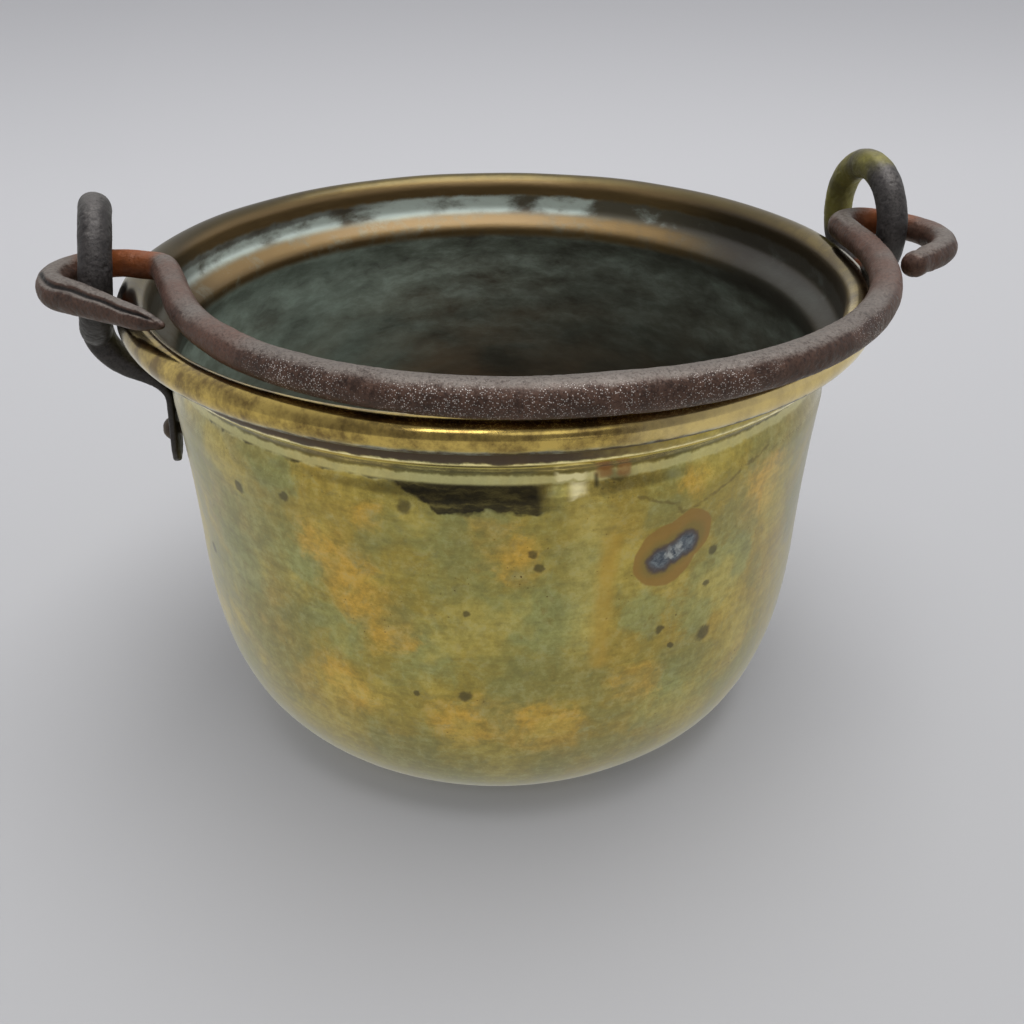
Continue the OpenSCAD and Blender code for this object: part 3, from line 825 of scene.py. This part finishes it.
# %% Brass: the heat mark, the drip and the scoured streak
soft_edge = shaken(tree, where, 4, 1.6)
halo = patches(tree, [(18.5, -65.3, 65.2, 6.9), (22.4, -64.2, 68.0, 5.6)], soft_edge, 0.93)
olive = patches(tree, [(17.4, -65.7, 64.6, 5.0), (20.4, -65.0, 65.9, 4.6), (22.9, -64.0, 67.3, 4.4)],
                soft_edge, 0.6)
rind = patches(tree, [(17.4, -65.7, 64.5, 3.5), (20.1, -65.0, 65.4, 3.2), (22.2, -64.2, 66.5, 3.5)],
               ragged, 0.7)
core = patches(tree, [(17.4, -65.7, 64.5, 2.8), (20.1, -65.0, 65.4, 2.6), (22.2, -64.2, 66.5, 2.8)],
               ragged, 0.45)
core_noise = add(tree, "ShaderNodeTexNoise", {"Vector": ragged, "Scale": per_mm(1.3), "Detail": 5.0,
                                              "Roughness": 0.7})
core_mottle = add(tree, "ShaderNodeMapRange", {"Value": core_noise.outputs["Fac"], "From Min": 0.38,
                                               "From Max": 0.62}).outputs[0]
core_colour = paint(tree, srgb("#434b57"), core_mottle, srgb("#7c848b"))
core_middle = patches(tree, [(19.2, -65.3, 65.2, 2.9), (20.8, -64.8, 65.9, 2.5)], ragged, 0.0)
core_middle = add(tree, "ShaderNodeMath", {0: core_mottle, 1: 0.6, 2: core_middle}, operation="MULTIPLY_ADD")
core_middle = add(tree, "ShaderNodeMapRange", {"Value": core_middle.outputs[0], "From Min": 0.7,
                                               "From Max": 1.3, "To Min": 0.0, "To Max": 0.65})
core_colour = paint(tree, core_colour, core_middle.outputs[0], srgb("#bfc1bf"))
outside = paint(tree, outside, product(tree, halo, 0.85), srgb("#97743a"))
outside = paint(tree, outside, product(tree, olive, 0.6), srgb("#7d7440"))
outside = paint(tree, outside, product(tree, rind, 0.8), srgb("#453c4a"))
outside = paint(tree, outside, core, core_colour)
drip = line_mask(tree, [(12.1, -67.1, 78.9), (19.8, -65.4, 75.4), (20.4, -65.1, 73.6),
                        (24.0, -63.9, 74.1), (28.0, -62.3, 75.7), (33.2, -59.8, 78.1),
                        (39.3, -55.5, 79.8)], 0.5, ragged)
outside = paint(tree, outside, product(tree, drip, 0.6), srgb("#6b5c30"))
streak = line_mask(tree, [(7.6, -67.6, 71.0), (6.9, -67.3, 58.7), (6.6, -66.9, 45.0)], 2.6, ragged)
outside = paint(tree, outside, product(tree, streak, cloud.outputs["Fac"], 1.0), srgb("#c29c40"))

# %% [markdown]
# Height decides how much the brass was handled. The bead of the rim is rubbed to a clear gold and is
# darker at the back and the far right; it carries a painted shadow of the ear on the far left and a
# painted highlight on the near right. The seam under it holds grime and a little pale verdigris, then
# come a band of dark purple tarnish, a band of bare yellow brass painted near white as a highlight,
# and the crease of the neck with a painted highlight just below it. Below the crease, at the front,
# lies a ragged black patch, partly a stain and partly a painted reflection of the dark room, and
# beside it a painted reflection of a window pane with its dark frame, and a dark smudge.

# %% Brass: rim, crease and grime, with painted shade, highlights and reflections
rub_noise = add(tree, "ShaderNodeTexNoise", {"Vector": where, "Scale": per_mm(6), "Detail": 6.0,
                                             "Roughness": 0.7})
rubbed = add(tree, "ShaderNodeValToRGB", {"Fac": rub_noise.outputs["Fac"]})
rubbed.color_ramp.elements[0].position = 0.38
rubbed.color_ramp.elements[0].color = srgb("#7a6434")
rubbed.color_ramp.elements[1].position = 0.58
rubbed.color_ramp.elements[1].color = srgb("#c6ab5c")
bead = band(tree, level, 93.4 * MM, 120 * MM, 0.7 * MM)
outside = paint(tree, outside, bead, rubbed.outputs[0])
behind = band(tree, place.outputs["Y"], 10 * MM, 200 * MM, 20 * MM)
outside = paint(tree, outside, product(tree, bead, behind, 0.92), srgb("#544a2c"))
# Painted shadow: the bead on the far left, under the ear and the bail's return, is painted dark brown.
painted_ear_shadow = band(tree, round_pot, math.radians(-150), math.radians(-66), math.radians(12))
outside = paint(tree, outside, product(tree, bead, painted_ear_shadow, 0.8), srgb("#3b3220"))
far_right = band(tree, round_pot, math.radians(64), math.radians(150), math.radians(10))
outside = paint(tree, outside, product(tree, bead, far_right, 0.7), srgb("#5a4f36"))
# Painted highlight: the bead on the near right is painted pale gold where the bail keeps the light from it.
painted_bead_highlight = band(tree, round_pot, math.radians(7), math.radians(58), math.radians(6))
outside = paint(tree, outside, product(tree, bead, painted_bead_highlight, 0.6), srgb("#e2cc90"))
# A band of bare yellow brass, painted near white as a highlight for the bright reflection it shows.
yellow_band_and_highlight = product(tree, band(tree, level, 85.6 * MM, 88.6 * MM, 0.3 * MM), 0.92)
outside = paint(tree, outside, yellow_band_and_highlight, srgb("#fff0ae"))
# Painted highlight: a pale band just below the crease of the neck.
painted_band_highlight = product(tree, band(tree, level, 82.7 * MM, 84.4 * MM, 0.3 * MM), 0.45)
outside = paint(tree, outside, painted_band_highlight, srgb("#d6d09a"))
front_left = band(tree, round_pot, math.radians(-62), math.radians(10), math.radians(14))
purple = product(tree, band(tree, level, 88.7 * MM, 93.2 * MM, 0.35 * MM), front_left)
thin = product(tree, band(tree, level, 91.4 * MM, 93.2 * MM, 0.3 * MM),
               band(tree, round_pot, math.radians(-95), math.radians(38), math.radians(10)))
purple = add(tree, "ShaderNodeMath", {0: purple, 1: thin}, operation="MAXIMUM").outputs[0]
outside = paint(tree, outside, product(tree, purple, 0.92), srgb("#4a3a33"))
bloom = add(tree, "ShaderNodeMapRange", {"Value": rub_noise.outputs["Fac"], "From Min": 0.46,
                                         "From Max": 0.62, "To Min": 0.0, "To Max": 0.8})
bloom = product(tree, bloom.outputs[0], band(tree, height, 91.9 * MM, 93.4 * MM, 0.3 * MM))
outside = paint(tree, outside, bloom, srgb("#9b9f95"))
crease = product(tree, band(tree, level, 84.4 * MM, 85.3 * MM, 0.35 * MM), 0.7)
outside = paint(tree, outside, crease, srgb("#453d20"))
# The black patch below the crease is partly a stain and partly a painted reflection of the dark room, with
# ragged, streaked edges.
torn = shaken(tree, where, 4, 4.5)
torn = add(tree, "ShaderNodeSeparateXYZ", {"Vector": torn})
torn_x = add(tree, "ShaderNodeMapRange", {"Value": torn.outputs["X"], "From Min": -27 * MM,
                                          "From Max": -21.5 * MM, "To Min": 82.8 * MM,
                                          "To Max": 78.0 * MM}).outputs[0]
deep = add(tree, "ShaderNodeMath", {0: torn.outputs["Z"], 1: torn_x}, operation="SUBTRACT")
deep = add(tree, "ShaderNodeMapRange", {"Value": deep.outputs[0], "From Min": -0.3 * MM,
                                        "From Max": 0.3 * MM})
faded = add(tree, "ShaderNodeMapRange", {"Value": torn.outputs["X"], "From Min": -1.5 * MM,
                                         "From Max": -5.5 * MM})
stain_and_painted_reflection = product(tree, deep.outputs[0], band(tree, height, 0.0, 82.9 * MM, 0.3 * MM), faded.outputs[0],
                band(tree, ahead.outputs[0], 30 * MM, 200 * MM, 5 * MM))
streaks = add(tree, "ShaderNodeVectorMath", {0: ragged, 1: (0.2, 0.2, 1.0)}, operation="MULTIPLY")
streaks = add(tree, "ShaderNodeTexNoise", {"Vector": streaks.outputs[0], "Scale": per_mm(1.5),
                                           "Detail": 4.0, "Roughness": 0.7})
soot_and_painted_reflection = add(tree, "ShaderNodeValToRGB", {"Fac": streaks.outputs["Fac"]})
soot_and_painted_reflection.color_ramp.elements[0].position = 0.40
soot_and_painted_reflection.color_ramp.elements[0].color = srgb("#241e14")
soot_and_painted_reflection.color_ramp.elements[1].position = 0.68
soot_and_painted_reflection.color_ramp.elements[1].color = srgb("#6f6538")
soot_and_painted_reflection.color_ramp.elements.new(0.52).color = srgb("#40381f")
# Painted reflection: a thin dark bar, the window's frame, stands beside the pale pane; next to it lies a
# dark smudge.
bar = product(tree, band(tree, height, 81.6 * MM, 84.0 * MM, 0.4 * MM),
              band(tree, azimuth, math.radians(3.6), math.radians(4.2), math.radians(0.3)), 0.8)
smear = product(tree, band(tree, torn.outputs["Z"], 82.8 * MM, 84.3 * MM, 0.4 * MM),
                band(tree, azimuth, math.radians(5.0), math.radians(9.0), math.radians(1.5)), 0.6)
# Painted reflection: a pale pane of window light beside the black patch, in an upper and a lower part.
painted_pane_reflection = add(tree, "ShaderNodeMath", {
    0: product(tree, band(tree, torn.outputs["Z"], 80.3 * MM, 82.2 * MM, 0.3 * MM),
               band(tree, azimuth, math.radians(0.2), math.radians(2.3), math.radians(0.8))),
    1: product(tree, band(tree, torn.outputs["Z"], 82.8 * MM, 84.3 * MM, 0.3 * MM),
               band(tree, azimuth, math.radians(-1.8), math.radians(2.4), math.radians(0.6)))},
            operation="MAXIMUM").outputs[0]
painted_pane_reflection = product(tree, painted_pane_reflection, 0.7)
outside = paint(tree, outside, product(tree, stain_and_painted_reflection, 0.95), soot_and_painted_reflection.outputs[0])
outside = paint(tree, outside, painted_pane_reflection, srgb("#f0e4b0"))
smudge_and_painted_reflection = add(tree, "ShaderNodeMath", {0: bar, 1: smear}, operation="MAXIMUM").outputs[0]
outside = paint(tree, outside, smudge_and_painted_reflection, srgb("#3c351d"))
brown_stain = patches(tree, [(6.0, -66.8, 84.4, 2.0), (9.4, -66.5, 84.0, 1.8)], ragged, 0.4)
outside = paint(tree, outside, product(tree, brown_stain, 0.7), srgb("#8a5a2e"))

# %% [markdown]
# Inside, the tool marks of the lathe and the hammer run round the pot in rows, so the pattern is
# stretched along the wall and squeezed upwards. Verdigris is matt and grey-green. Lower down, where
# food stood, it turns brown.

# %% Brass: patina of the inside, with painted shade on the right and under the bail
rows = add(tree, "ShaderNodeVectorMath", {0: dented, 1: (0.38, 0.38, 1.0)}, operation="MULTIPLY")
row_noise = add(tree, "ShaderNodeTexNoise", {"Vector": rows.outputs[0], "Scale": per_mm(5),
                                             "Detail": 6.0, "Roughness": 0.66})
patina = add(tree, "ShaderNodeValToRGB", {"Fac": row_noise.outputs["Fac"]})
patina.color_ramp.elements[0].position = 0.34
patina.color_ramp.elements[0].color = srgb("#505146")
patina.color_ramp.elements[1].position = 0.70
patina.color_ramp.elements[1].color = srgb("#adbbad")
patina.color_ramp.elements.new(0.52).color = srgb("#7f887a")
brown = add(tree, "ShaderNodeTexNoise", {"Vector": rows.outputs[0], "Scale": per_mm(8), "Detail": 6.0})
brown = add(tree, "ShaderNodeValToRGB", {"Fac": brown.outputs["Fac"]})
brown.color_ramp.elements[0].position = 0.35
brown.color_ramp.elements[0].color = srgb("#362d21")
brown.color_ramp.elements[1].position = 0.68
brown.color_ramp.elements[1].color = srgb("#6d5841")
depth = add(tree, "ShaderNodeMapRange", {"Value": height, "From Min": 78 * MM, "From Max": 46 * MM,
                                         "To Min": 0.0, "To Max": 0.9})
inner = paint(tree, patina.outputs[0], depth.outputs[0], brown.outputs[0])
left_side = band(tree, place.outputs["X"], -200 * MM, -18 * MM, 25 * MM)
inner = paint(tree, inner, product(tree, left_side, row_noise.outputs["Fac"], 0.8), srgb("#93a597"))
# Painted shade: the right side of the inside is painted dark.
painted_inside_shade = band(tree, place.outputs["X"], 14 * MM, 200 * MM, 45 * MM)
inner = paint(tree, inner, product(tree, painted_inside_shade, 0.65), srgb("#29271f"))
collar_rows = add(tree, "ShaderNodeVectorMath", {0: dented, 1: (0.55, 0.55, 1.2)}, operation="MULTIPLY")
collar_noise = add(tree, "ShaderNodeTexNoise", {"Vector": collar_rows.outputs[0], "Scale": per_mm(6),
                                                "Detail": 5.0, "Roughness": 0.62})
pale_places = patches(tree, [(-16, 72, 91, 22), (8, 73, 91, 20), (30, 68, 91, 14), (-40, 60, 90, 16),
                             (-58, 42, 88, 20), (-66, 22, 88, 18), (-20, -70, 91, 16)], wavy, 0.3)
pale = add(tree, "ShaderNodeMath", {0: collar_noise.outputs["Fac"], 1: 3.0, 2: pale_places},
           operation="MULTIPLY_ADD")
pale = add(tree, "ShaderNodeMapRange", {"Value": pale.outputs[0], "From Min": 1.6, "From Max": 2.6,
                                        "To Min": 0.0, "To Max": 0.97},
           interpolation_type="SMOOTHSTEP")
collar_dark = paint(tree, srgb("#5d574a"), row_noise.outputs["Fac"], srgb("#57523f"))
collar_colour = paint(tree, collar_dark, pale.outputs[0], srgb("#cbd8ce"))
collar = band(tree, height, 88.3 * MM, 93.0 * MM, 0.8 * MM)
inner = paint(tree, inner, collar, collar_colour)
ridge = band(tree, height, 83.2 * MM, 88.3 * MM, 0.9 * MM)
ridge = product(tree, ridge, band(tree, place.outputs["X"], -200 * MM, 60 * MM, 10 * MM))
ridge_worn = add(tree, "ShaderNodeMapRange", {"Value": rub_noise.outputs["Fac"], "From Min": 0.34,
                                              "From Max": 0.5, "To Min": 0.6, "To Max": 1.0})
left_back = product(tree, band(tree, level, 91.3 * MM, 94 * MM, 0.5 * MM),
                    band(tree, place.outputs["X"], -200 * MM, -22 * MM, 8 * MM), 0.7)
inner = paint(tree, inner, left_back, srgb("#463f33"))
lip = band(tree, level, 92.8 * MM, 120 * MM, 0.6 * MM)
worn_inside = add(tree, "ShaderNodeMath", {0: product(tree, ridge, ridge_worn.outputs[0]), 1: lip},
                  operation="MAXIMUM").outputs[0]
inner = paint(tree, inner, worn_inside, srgb("#866f4a"))

shadowed = product(tree, band(tree, height, 80 * MM, 97 * MM, 1.5 * MM),
                   band(tree, place.outputs["X"], 56 * MM, 200 * MM, 10 * MM), 0.85)
inner = paint(tree, inner, shadowed, srgb("#2a251d"))
# Painted shadow: the inside of the collar at the front left, under the bail, is painted dark.
painted_bail_shadow = product(tree, band(tree, azimuth, math.radians(-112), math.radians(-40), math.radians(10)),
                     band(tree, height, 80 * MM, 97.2 * MM, 0.5 * MM), 0.85)
inner = paint(tree, inner, painted_bail_shadow, srgb("#2d281e"))

# %% Brass: putting the two faces together
inside = add(tree, "ShaderNodeAttribute", attribute_name="inside").outputs["Fac"]
colour = paint(tree, outside, inside, inner)
bare = product(tree, inside, worn_inside)
covered = add(tree, "ShaderNodeMath", {0: inside, 1: bare}, operation="SUBTRACT")
metal = add(tree, "ShaderNodeMapRange", {"Value": covered.outputs[0], "To Min": 1.0, "To Max": 0.2})
dull = add(tree, "ShaderNodeMapRange", {"Value": grain.outputs["Fac"], "From Min": 0.3, "From Max": 0.7,
                                        "To Min": 0.28, "To Max": 0.44})
polished = band(tree, height, 79 * MM, 120 * MM, 1.5 * MM)
dull = add(tree, "ShaderNodeMix", {0: polished, 2: dull.outputs[0], 3: 0.17})
grimy = add(tree, "ShaderNodeMath", {0: inside, 1: purple}, operation="MAXIMUM")
grimy = add(tree, "ShaderNodeMath", {0: grimy.outputs[0], 1: product(tree, behind, 0.7)},
            operation="MAXIMUM")
rough = add(tree, "ShaderNodeMix", {0: grimy.outputs[0], 2: dull.outputs[0], 3: 0.55})
row_bump = add(tree, "ShaderNodeMath", {0: row_noise.outputs["Fac"], 1: inside}, operation="MULTIPLY")
relief = add(tree, "ShaderNodeBump", {"Height": brushed.outputs["Fac"], "Strength": 0.12,
                                      "Distance": 0.05 * MM})
relief = add(tree, "ShaderNodeBump", {"Height": row_bump.outputs[0], "Strength": 0.4,
                                      "Distance": 0.5 * MM, "Normal": relief.outputs[0]})
relief = add(tree, "ShaderNodeBump", {"Height": grain.outputs["Fac"], "Strength": 0.16,
                                      "Distance": 0.08 * MM, "Normal": relief.outputs[0]})
shader = add(tree, "ShaderNodeBsdfPrincipled", {"Base Color": colour, "Metallic": metal.outputs[0],
                                                "Roughness": rough.outputs[0],
                                                "Coat Weight": 0.3, "Coat Roughness": 0.25,
                                                "Normal": relief.outputs[0]})
add(tree, "ShaderNodeOutputMaterial", {"Surface": shader.outputs[0]})
pot.data.materials.clear()
pot.data.materials.append(brass)
print("brass has", len(tree.nodes), "nodes")

# %% [markdown]
# Forged iron is dark grey under a skin of scale. Where hands rub it, on top, it is a paler grey, on
# the sides the rust is dark brown, and where iron turns on iron in the eyes the fresh rust is orange.
# Its surface is full of fine pits, and the points of light that they catch are painted on the sides as pale
# specks.

# %% A forged iron finish, with its own rust in its own places


def forged_iron(name, worn, side_dark, side_light, worn_from, red_places, orange_places, green_places,
                painted_glint_places, folds=None):
    """worn, side_dark and side_light are colours; the places are (x, y, z, radius) lists."""
    material, tree = new_material(name)
    coords = add(tree, "ShaderNodeTexCoord")
    at = coords.outputs["Object"]
    loose = shaken(tree, at, 5, 6)
    fine = add(tree, "ShaderNodeTexNoise", {"Vector": at, "Scale": per_mm(0.9), "Detail": 5.0,
                                            "Roughness": 0.7})
    broad = add(tree, "ShaderNodeTexNoise", {"Vector": at, "Scale": per_mm(6), "Detail": 5.0,
                                             "Roughness": 0.65})
    tone = add(tree, "ShaderNodeMath", {0: fine.outputs["Fac"], 1: broad.outputs["Fac"]}, operation="ADD")
    tone = add(tree, "ShaderNodeMapRange", {"Value": tone.outputs[0], "From Min": 0.72,
                                            "From Max": 1.28})
    skin = paint(tree, srgb(side_dark), tone.outputs[0], srgb(side_light))
    stipple = add(tree, "ShaderNodeTexNoise", {"Vector": at, "Scale": per_mm(0.45), "Detail": 3.0,
                                               "Roughness": 0.8})
    stipple = add(tree, "ShaderNodeMapRange", {"Value": stipple.outputs["Fac"], "From Min": 0.52,
                                               "From Max": 0.36, "To Min": 0.0, "To Max": 0.6})
    up = add(tree, "ShaderNodeSeparateXYZ", {"Vector": coords.outputs["Normal"]}).outputs["Z"]
    up = add(tree, "ShaderNodeMath", {0: tone.outputs[0], 1: 0.35, 2: up}, operation="MULTIPLY_ADD")
    top = add(tree, "ShaderNodeMapRange", {"Value": up.outputs[0], "From Min": worn_from,
                                           "From Max": worn_from + 0.3, "To Min": 0.0, "To Max": 0.85})
    skin = paint(tree, skin, top.outputs[0], srgb(worn))
    if red_places:
        skin = paint(tree, skin, product(tree, patches(tree, red_places, loose, 0.2),
                                         broad.outputs["Fac"], 1.3), srgb("#68493c"))
    skin = paint(tree, skin, stipple.outputs[0], srgb(side_dark))
    if orange_places:
        skin = paint(tree, skin, patches(tree, orange_places, loose, 0.3), srgb("#8c4a1c"))
    if green_places:
        skin = paint(tree, skin, product(tree, patches(tree, green_places, loose, 0.2), 0.75),
                     srgb("#98913c"))
    if folds:
        skin = paint(tree, skin, line_mask(tree, folds, 0.7, at), srgb("#1b1512"))
    # Painted glints: pale specks on the sides stand in for points of light caught in the pits.
    if painted_glint_places:
        cells = add(tree, "ShaderNodeTexVoronoi", {"Vector": at, "Scale": per_mm(0.24)})
        crowd = add(tree, "ShaderNodeMath", {0: broad.outputs["Fac"], 1: 1.6,
                                             2: patches(tree, painted_glint_places, loose, 0.3)},
                    operation="MULTIPLY_ADD")
        crowd = add(tree, "ShaderNodeMath", {0: fine.outputs["Fac"], 1: 1.2, 2: crowd.outputs[0]},
                    operation="MULTIPLY_ADD")
        crowd = add(tree, "ShaderNodeMapRange", {"Value": crowd.outputs[0], "From Min": 1.85,
                                                 "From Max": 2.5})
        picked = add(tree, "ShaderNodeSeparateColor", {"Color": cells.outputs["Color"]})
        picked = add(tree, "ShaderNodeMath", {0: picked.outputs[0], 1: 0.6}, operation="GREATER_THAN")
        side = add(tree, "ShaderNodeMapRange", {"Value": top.outputs[0], "From Min": 0.8,
                                                "From Max": 0.2})
        glint = add(tree, "ShaderNodeMapRange", {"Value": cells.outputs["Distance"], "From Min": 0.45,
                                                 "From Max": 0.2, "To Min": 0.0, "To Max": 0.85})
        skin = paint(tree, skin, product(tree, glint.outputs[0], crowd.outputs[0], picked.outputs[0],
                                         side.outputs[0]), srgb("#e3ddd6"))
    shine = add(tree, "ShaderNodeMapRange", {"Value": fine.outputs["Fac"], "From Min": 0.35,
                                             "From Max": 0.65, "To Min": 0.38, "To Max": 0.68})
    pits = add(tree, "ShaderNodeTexVoronoi", {"Vector": at, "Scale": per_mm(0.8)})
    bumps = add(tree, "ShaderNodeBump", {"Height": pits.outputs["Distance"], "Strength": 0.35,
                                         "Distance": 0.15 * MM})
    bumps = add(tree, "ShaderNodeBump", {"Height": fine.outputs["Fac"], "Strength": 0.5,
                                         "Distance": 0.2 * MM, "Normal": bumps.outputs[0]})
    iron = add(tree, "ShaderNodeBsdfPrincipled", {"Base Color": skin, "Metallic": 0.5,
                                                  "Roughness": shine.outputs[0],
                                                  "Normal": bumps.outputs[0]})
    add(tree, "ShaderNodeOutputMaterial", {"Surface": iron.outputs[0]})
    print(name, "has", len(tree.nodes), "nodes")
    return material


bail_iron = forged_iron(
    "forged_iron_bail_rusted", "#7a736c", "#2b1c14", "#63493c", 0.85,
    [(-62, -12, 102, 9), (-59, -24, 102, 12), (-50, -44, 102, 12), (64, -38, 102, 16), (72, -20, 102, 14), (90, -9, 103, 8)],
    [(-76, 1, 103, 9), (-70, 0, 102, 8), (86, -1, 103, 9)], [],
    [(-40, -60, 100, 18), (-20, -73, 100, 18), (0, -75, 100, 18), (20, -73, 100, 16), (50, -56, 100, 14)],
    fold_line)
ear_iron = forged_iron(
    "forged_iron_ears", "#64605d", "#262322", "#4d4947", 0.85,
    [(-75, 4, 103, 7)], [(-76, -1, 100, 7), (-80, -3, 92, 4), (79, -3, 93, 5)],
    [(81, 12, 104, 9), (81, 8, 111, 9), (80, -1, 113, 7)], [])
rivet_iron = forged_iron("hammered_iron_rivet", "#6b5f52", "#352c26", "#645646", 0.9, [], [], [], [])
wire_iron = forged_iron("drawn_iron_wire", "#6d665f", "#332c28", "#554b43", 0.9, [], [], [], [])
for piece, material in ((bail, bail_iron), (left_ear, ear_iron), (right_ear, ear_iron),
                        (left_rivet, rivet_iron), (right_rivet, rivet_iron),
                        (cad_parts["rim_wire"], wire_iron)):
    piece.data.materials.clear()
    piece.data.materials.append(material)

# %% [markdown]
# The pot stands on a pale sweep: a floor that curves up behind it into a backdrop. It is drawn as one
# line, with the bend rounded by a bevel, and extruded to its width. Both belong to the studio.

# %% Floor and backdrop
sweep_bm = bmesh.new()
corners = [(-0.9, 0.0), (3.0, 0.0), (3.0, 1.6)]
line = [sweep_bm.verts.new((-3.5, y, z)) for y, z in corners]
for a, b in zip(line, line[1:]):
    sweep_bm.edges.new((a, b))
bmesh.ops.bevel(sweep_bm, geom=[line[1]], offset=1.4, offset_type="OFFSET", segments=32, profile=0.5,
                affect="VERTICES", material=-1)
made = bmesh.ops.extrude_edge_only(sweep_bm, edges=sweep_bm.edges)["geom"]
bmesh.ops.translate(sweep_bm, verts=[g for g in made if isinstance(g, bmesh.types.BMVert)],
                    vec=(7, 0, 0))
bmesh.ops.recalc_face_normals(sweep_bm, faces=sweep_bm.faces)
if sum(face.normal.z * face.calc_area() for face in sweep_bm.faces) < 0:
    bmesh.ops.reverse_faces(sweep_bm, faces=sweep_bm.faces)
floor_mesh = bpy.data.meshes.new("studio_sweep")
sweep_bm.to_mesh(floor_mesh)
sweep_bm.free()
floor_mesh.polygons.foreach_set("use_smooth", [True] * len(floor_mesh.polygons))
floor = bpy.data.objects.new("studio_sweep", floor_mesh)
bpy.context.scene.collection.objects.link(floor)
paper, tree = new_material("matt_paper_backdrop")
sheet = add(tree, "ShaderNodeBsdfPrincipled", {"Base Color": srgb("#a4a4a5"), "Roughness": 0.8})
rays = add(tree, "ShaderNodeLightPath")
depth = add(tree, "ShaderNodeTexCoord").outputs["Object"]
depth = add(tree, "ShaderNodeSeparateXYZ", {"Vector": depth}).outputs["Y"]
far = add(tree, "ShaderNodeMapRange", {"Value": depth, "From Min": -0.25, "From Max": 0.5,
                                       "To Min": 0.06, "To Max": 0.22}, interpolation_type="SMOOTHSTEP")
glow = add(tree, "ShaderNodeEmission", {"Color": srgb("#f4f4fa"),
                                        "Strength": product(tree, far.outputs[0],
                                                            rays.outputs["Is Camera Ray"])})
lit = add(tree, "ShaderNodeAddShader", {0: sheet.outputs[0], 1: glow.outputs[0]})
mirrored = add(tree, "ShaderNodeEmission", {"Color": srgb("#f6f6f2"), "Strength": 0.72})
lit = add(tree, "ShaderNodeMixShader", {0: rays.outputs["Is Glossy Ray"], 1: lit.outputs[0],
                                        2: mirrored.outputs[0]})
add(tree, "ShaderNodeOutputMaterial", {"Surface": lit.outputs[0]})
floor.data.materials.append(paper)
print("studio sweep has", len(floor_mesh.polygons), "faces")

# %% [markdown]
# Metal shows its surroundings, so the surroundings are part of its look. The room is an even pale
# grey, a little dimmer at the front. What only a glossy surface sees is darker there still, with a
# black area low down and a small pane of daylight in it: together with the painted reflections on
# the brass they make the dark line along the neck and the glint beside it. A soft lamp stands above
# and gives the rim its line of light.

# %% Light
world = bpy.data.worlds.new("pale_room")
bpy.context.scene.world = world
world.use_nodes = True
tree = world.node_tree
tree.nodes.clear()
look = add(tree, "ShaderNodeTexCoord").outputs["Generated"]
light_path = add(tree, "ShaderNodeLightPath")
mirror_ray, camera_ray = light_path.outputs["Is Glossy Ray"], light_path.outputs["Is Camera Ray"]
unlit_side = Vector((-0.17, -0.90, 0.36)).normalized()
facing = add(tree, "ShaderNodeVectorMath", {0: look, 1: unlit_side}, operation="DOT_PRODUCT")
dim = add(tree, "ShaderNodeMapRange", {"Value": facing.outputs["Value"], "From Min": -0.3,
                                       "From Max": 0.75, "To Min": 0.0, "To Max": 0.6},
          interpolation_type="SMOOTHSTEP")
dark = add(tree, "ShaderNodeMapRange", {"Value": facing.outputs["Value"], "From Min": 0.4,
                                        "From Max": 0.8, "To Min": 0.0, "To Max": 0.85},
           interpolation_type="SMOOTHSTEP")
squashed = add(tree, "ShaderNodeVectorMath", {0: look, 1: (1, 0, 2)}, operation="MULTIPLY").outputs[0]
in_front = add(tree, "ShaderNodeSeparateXYZ", {"Vector": look}).outputs["Y"]
in_front = add(tree, "ShaderNodeMapRange", {"Value": in_front, "From Min": -0.3, "From Max": -0.5})
pane = add(tree, "ShaderNodeVectorMath", {0: squashed, 1: (0.2, 0, 0.02)}, operation="DISTANCE")
pane = add(tree, "ShaderNodeMapRange", {"Value": pane.outputs["Value"], "From Min": 0.15,
                                        "From Max": 0.10})
high_pane = add(tree, "ShaderNodeVectorMath", {0: squashed, 1: (0.11, 0, 1.17)}, operation="DISTANCE")
high_pane = add(tree, "ShaderNodeMapRange", {"Value": high_pane.outputs["Value"], "From Min": 0.30,
                                             "From Max": 0.20})
room = paint(tree, srgb("#dfe0e4"), dim.outputs[0], srgb("#77767a"))
room = paint(tree, room, product(tree, dark.outputs[0], mirror_ray), srgb("#868487"))
room = paint(tree, room, camera_ray, srgb("#bcbcc1"))
panes = add(tree, "ShaderNodeMath", {0: pane.outputs[0], 1: high_pane.outputs[0]}, operation="MAXIMUM")
panes = product(tree, panes.outputs[0], in_front.outputs[0], mirror_ray)
room = paint(tree, room, panes, srgb("#f2f4f8"))
bright = add(tree, "ShaderNodeMath", {0: panes, 1: 0.35, 2: 1.0}, operation="MULTIPLY_ADD")
glow = add(tree, "ShaderNodeBackground", {"Color": room, "Strength": bright.outputs[0]})
add(tree, "ShaderNodeOutputWorld", {"Surface": glow.outputs[0]})


def soft_lamp(name, at, aim, size, watts):
    data = bpy.data.lights.new(name, "AREA")
    data.shape = "RECTANGLE"
    data.size, data.size_y = size
    data.energy = watts
    lamp = bpy.data.objects.new(name, data)
    lamp.location = at
    lamp.rotation_euler = (Vector(aim) - Vector(at)).to_track_quat("-Z", "Y").to_euler()
    bpy.context.scene.collection.objects.link(lamp)
    return lamp


soft_lamp("overhead_lamp", (0.1, -0.05, 1.1), (0, 0, 0.05), (0.9, 0.7), 9.0)
soft_lamp("front_lamp", (-0.35, -0.75, 0.95), (0, 0, 0.06), (0.35, 0.25), 1.2)
bpy.context.scene.view_settings.view_transform = "Standard"
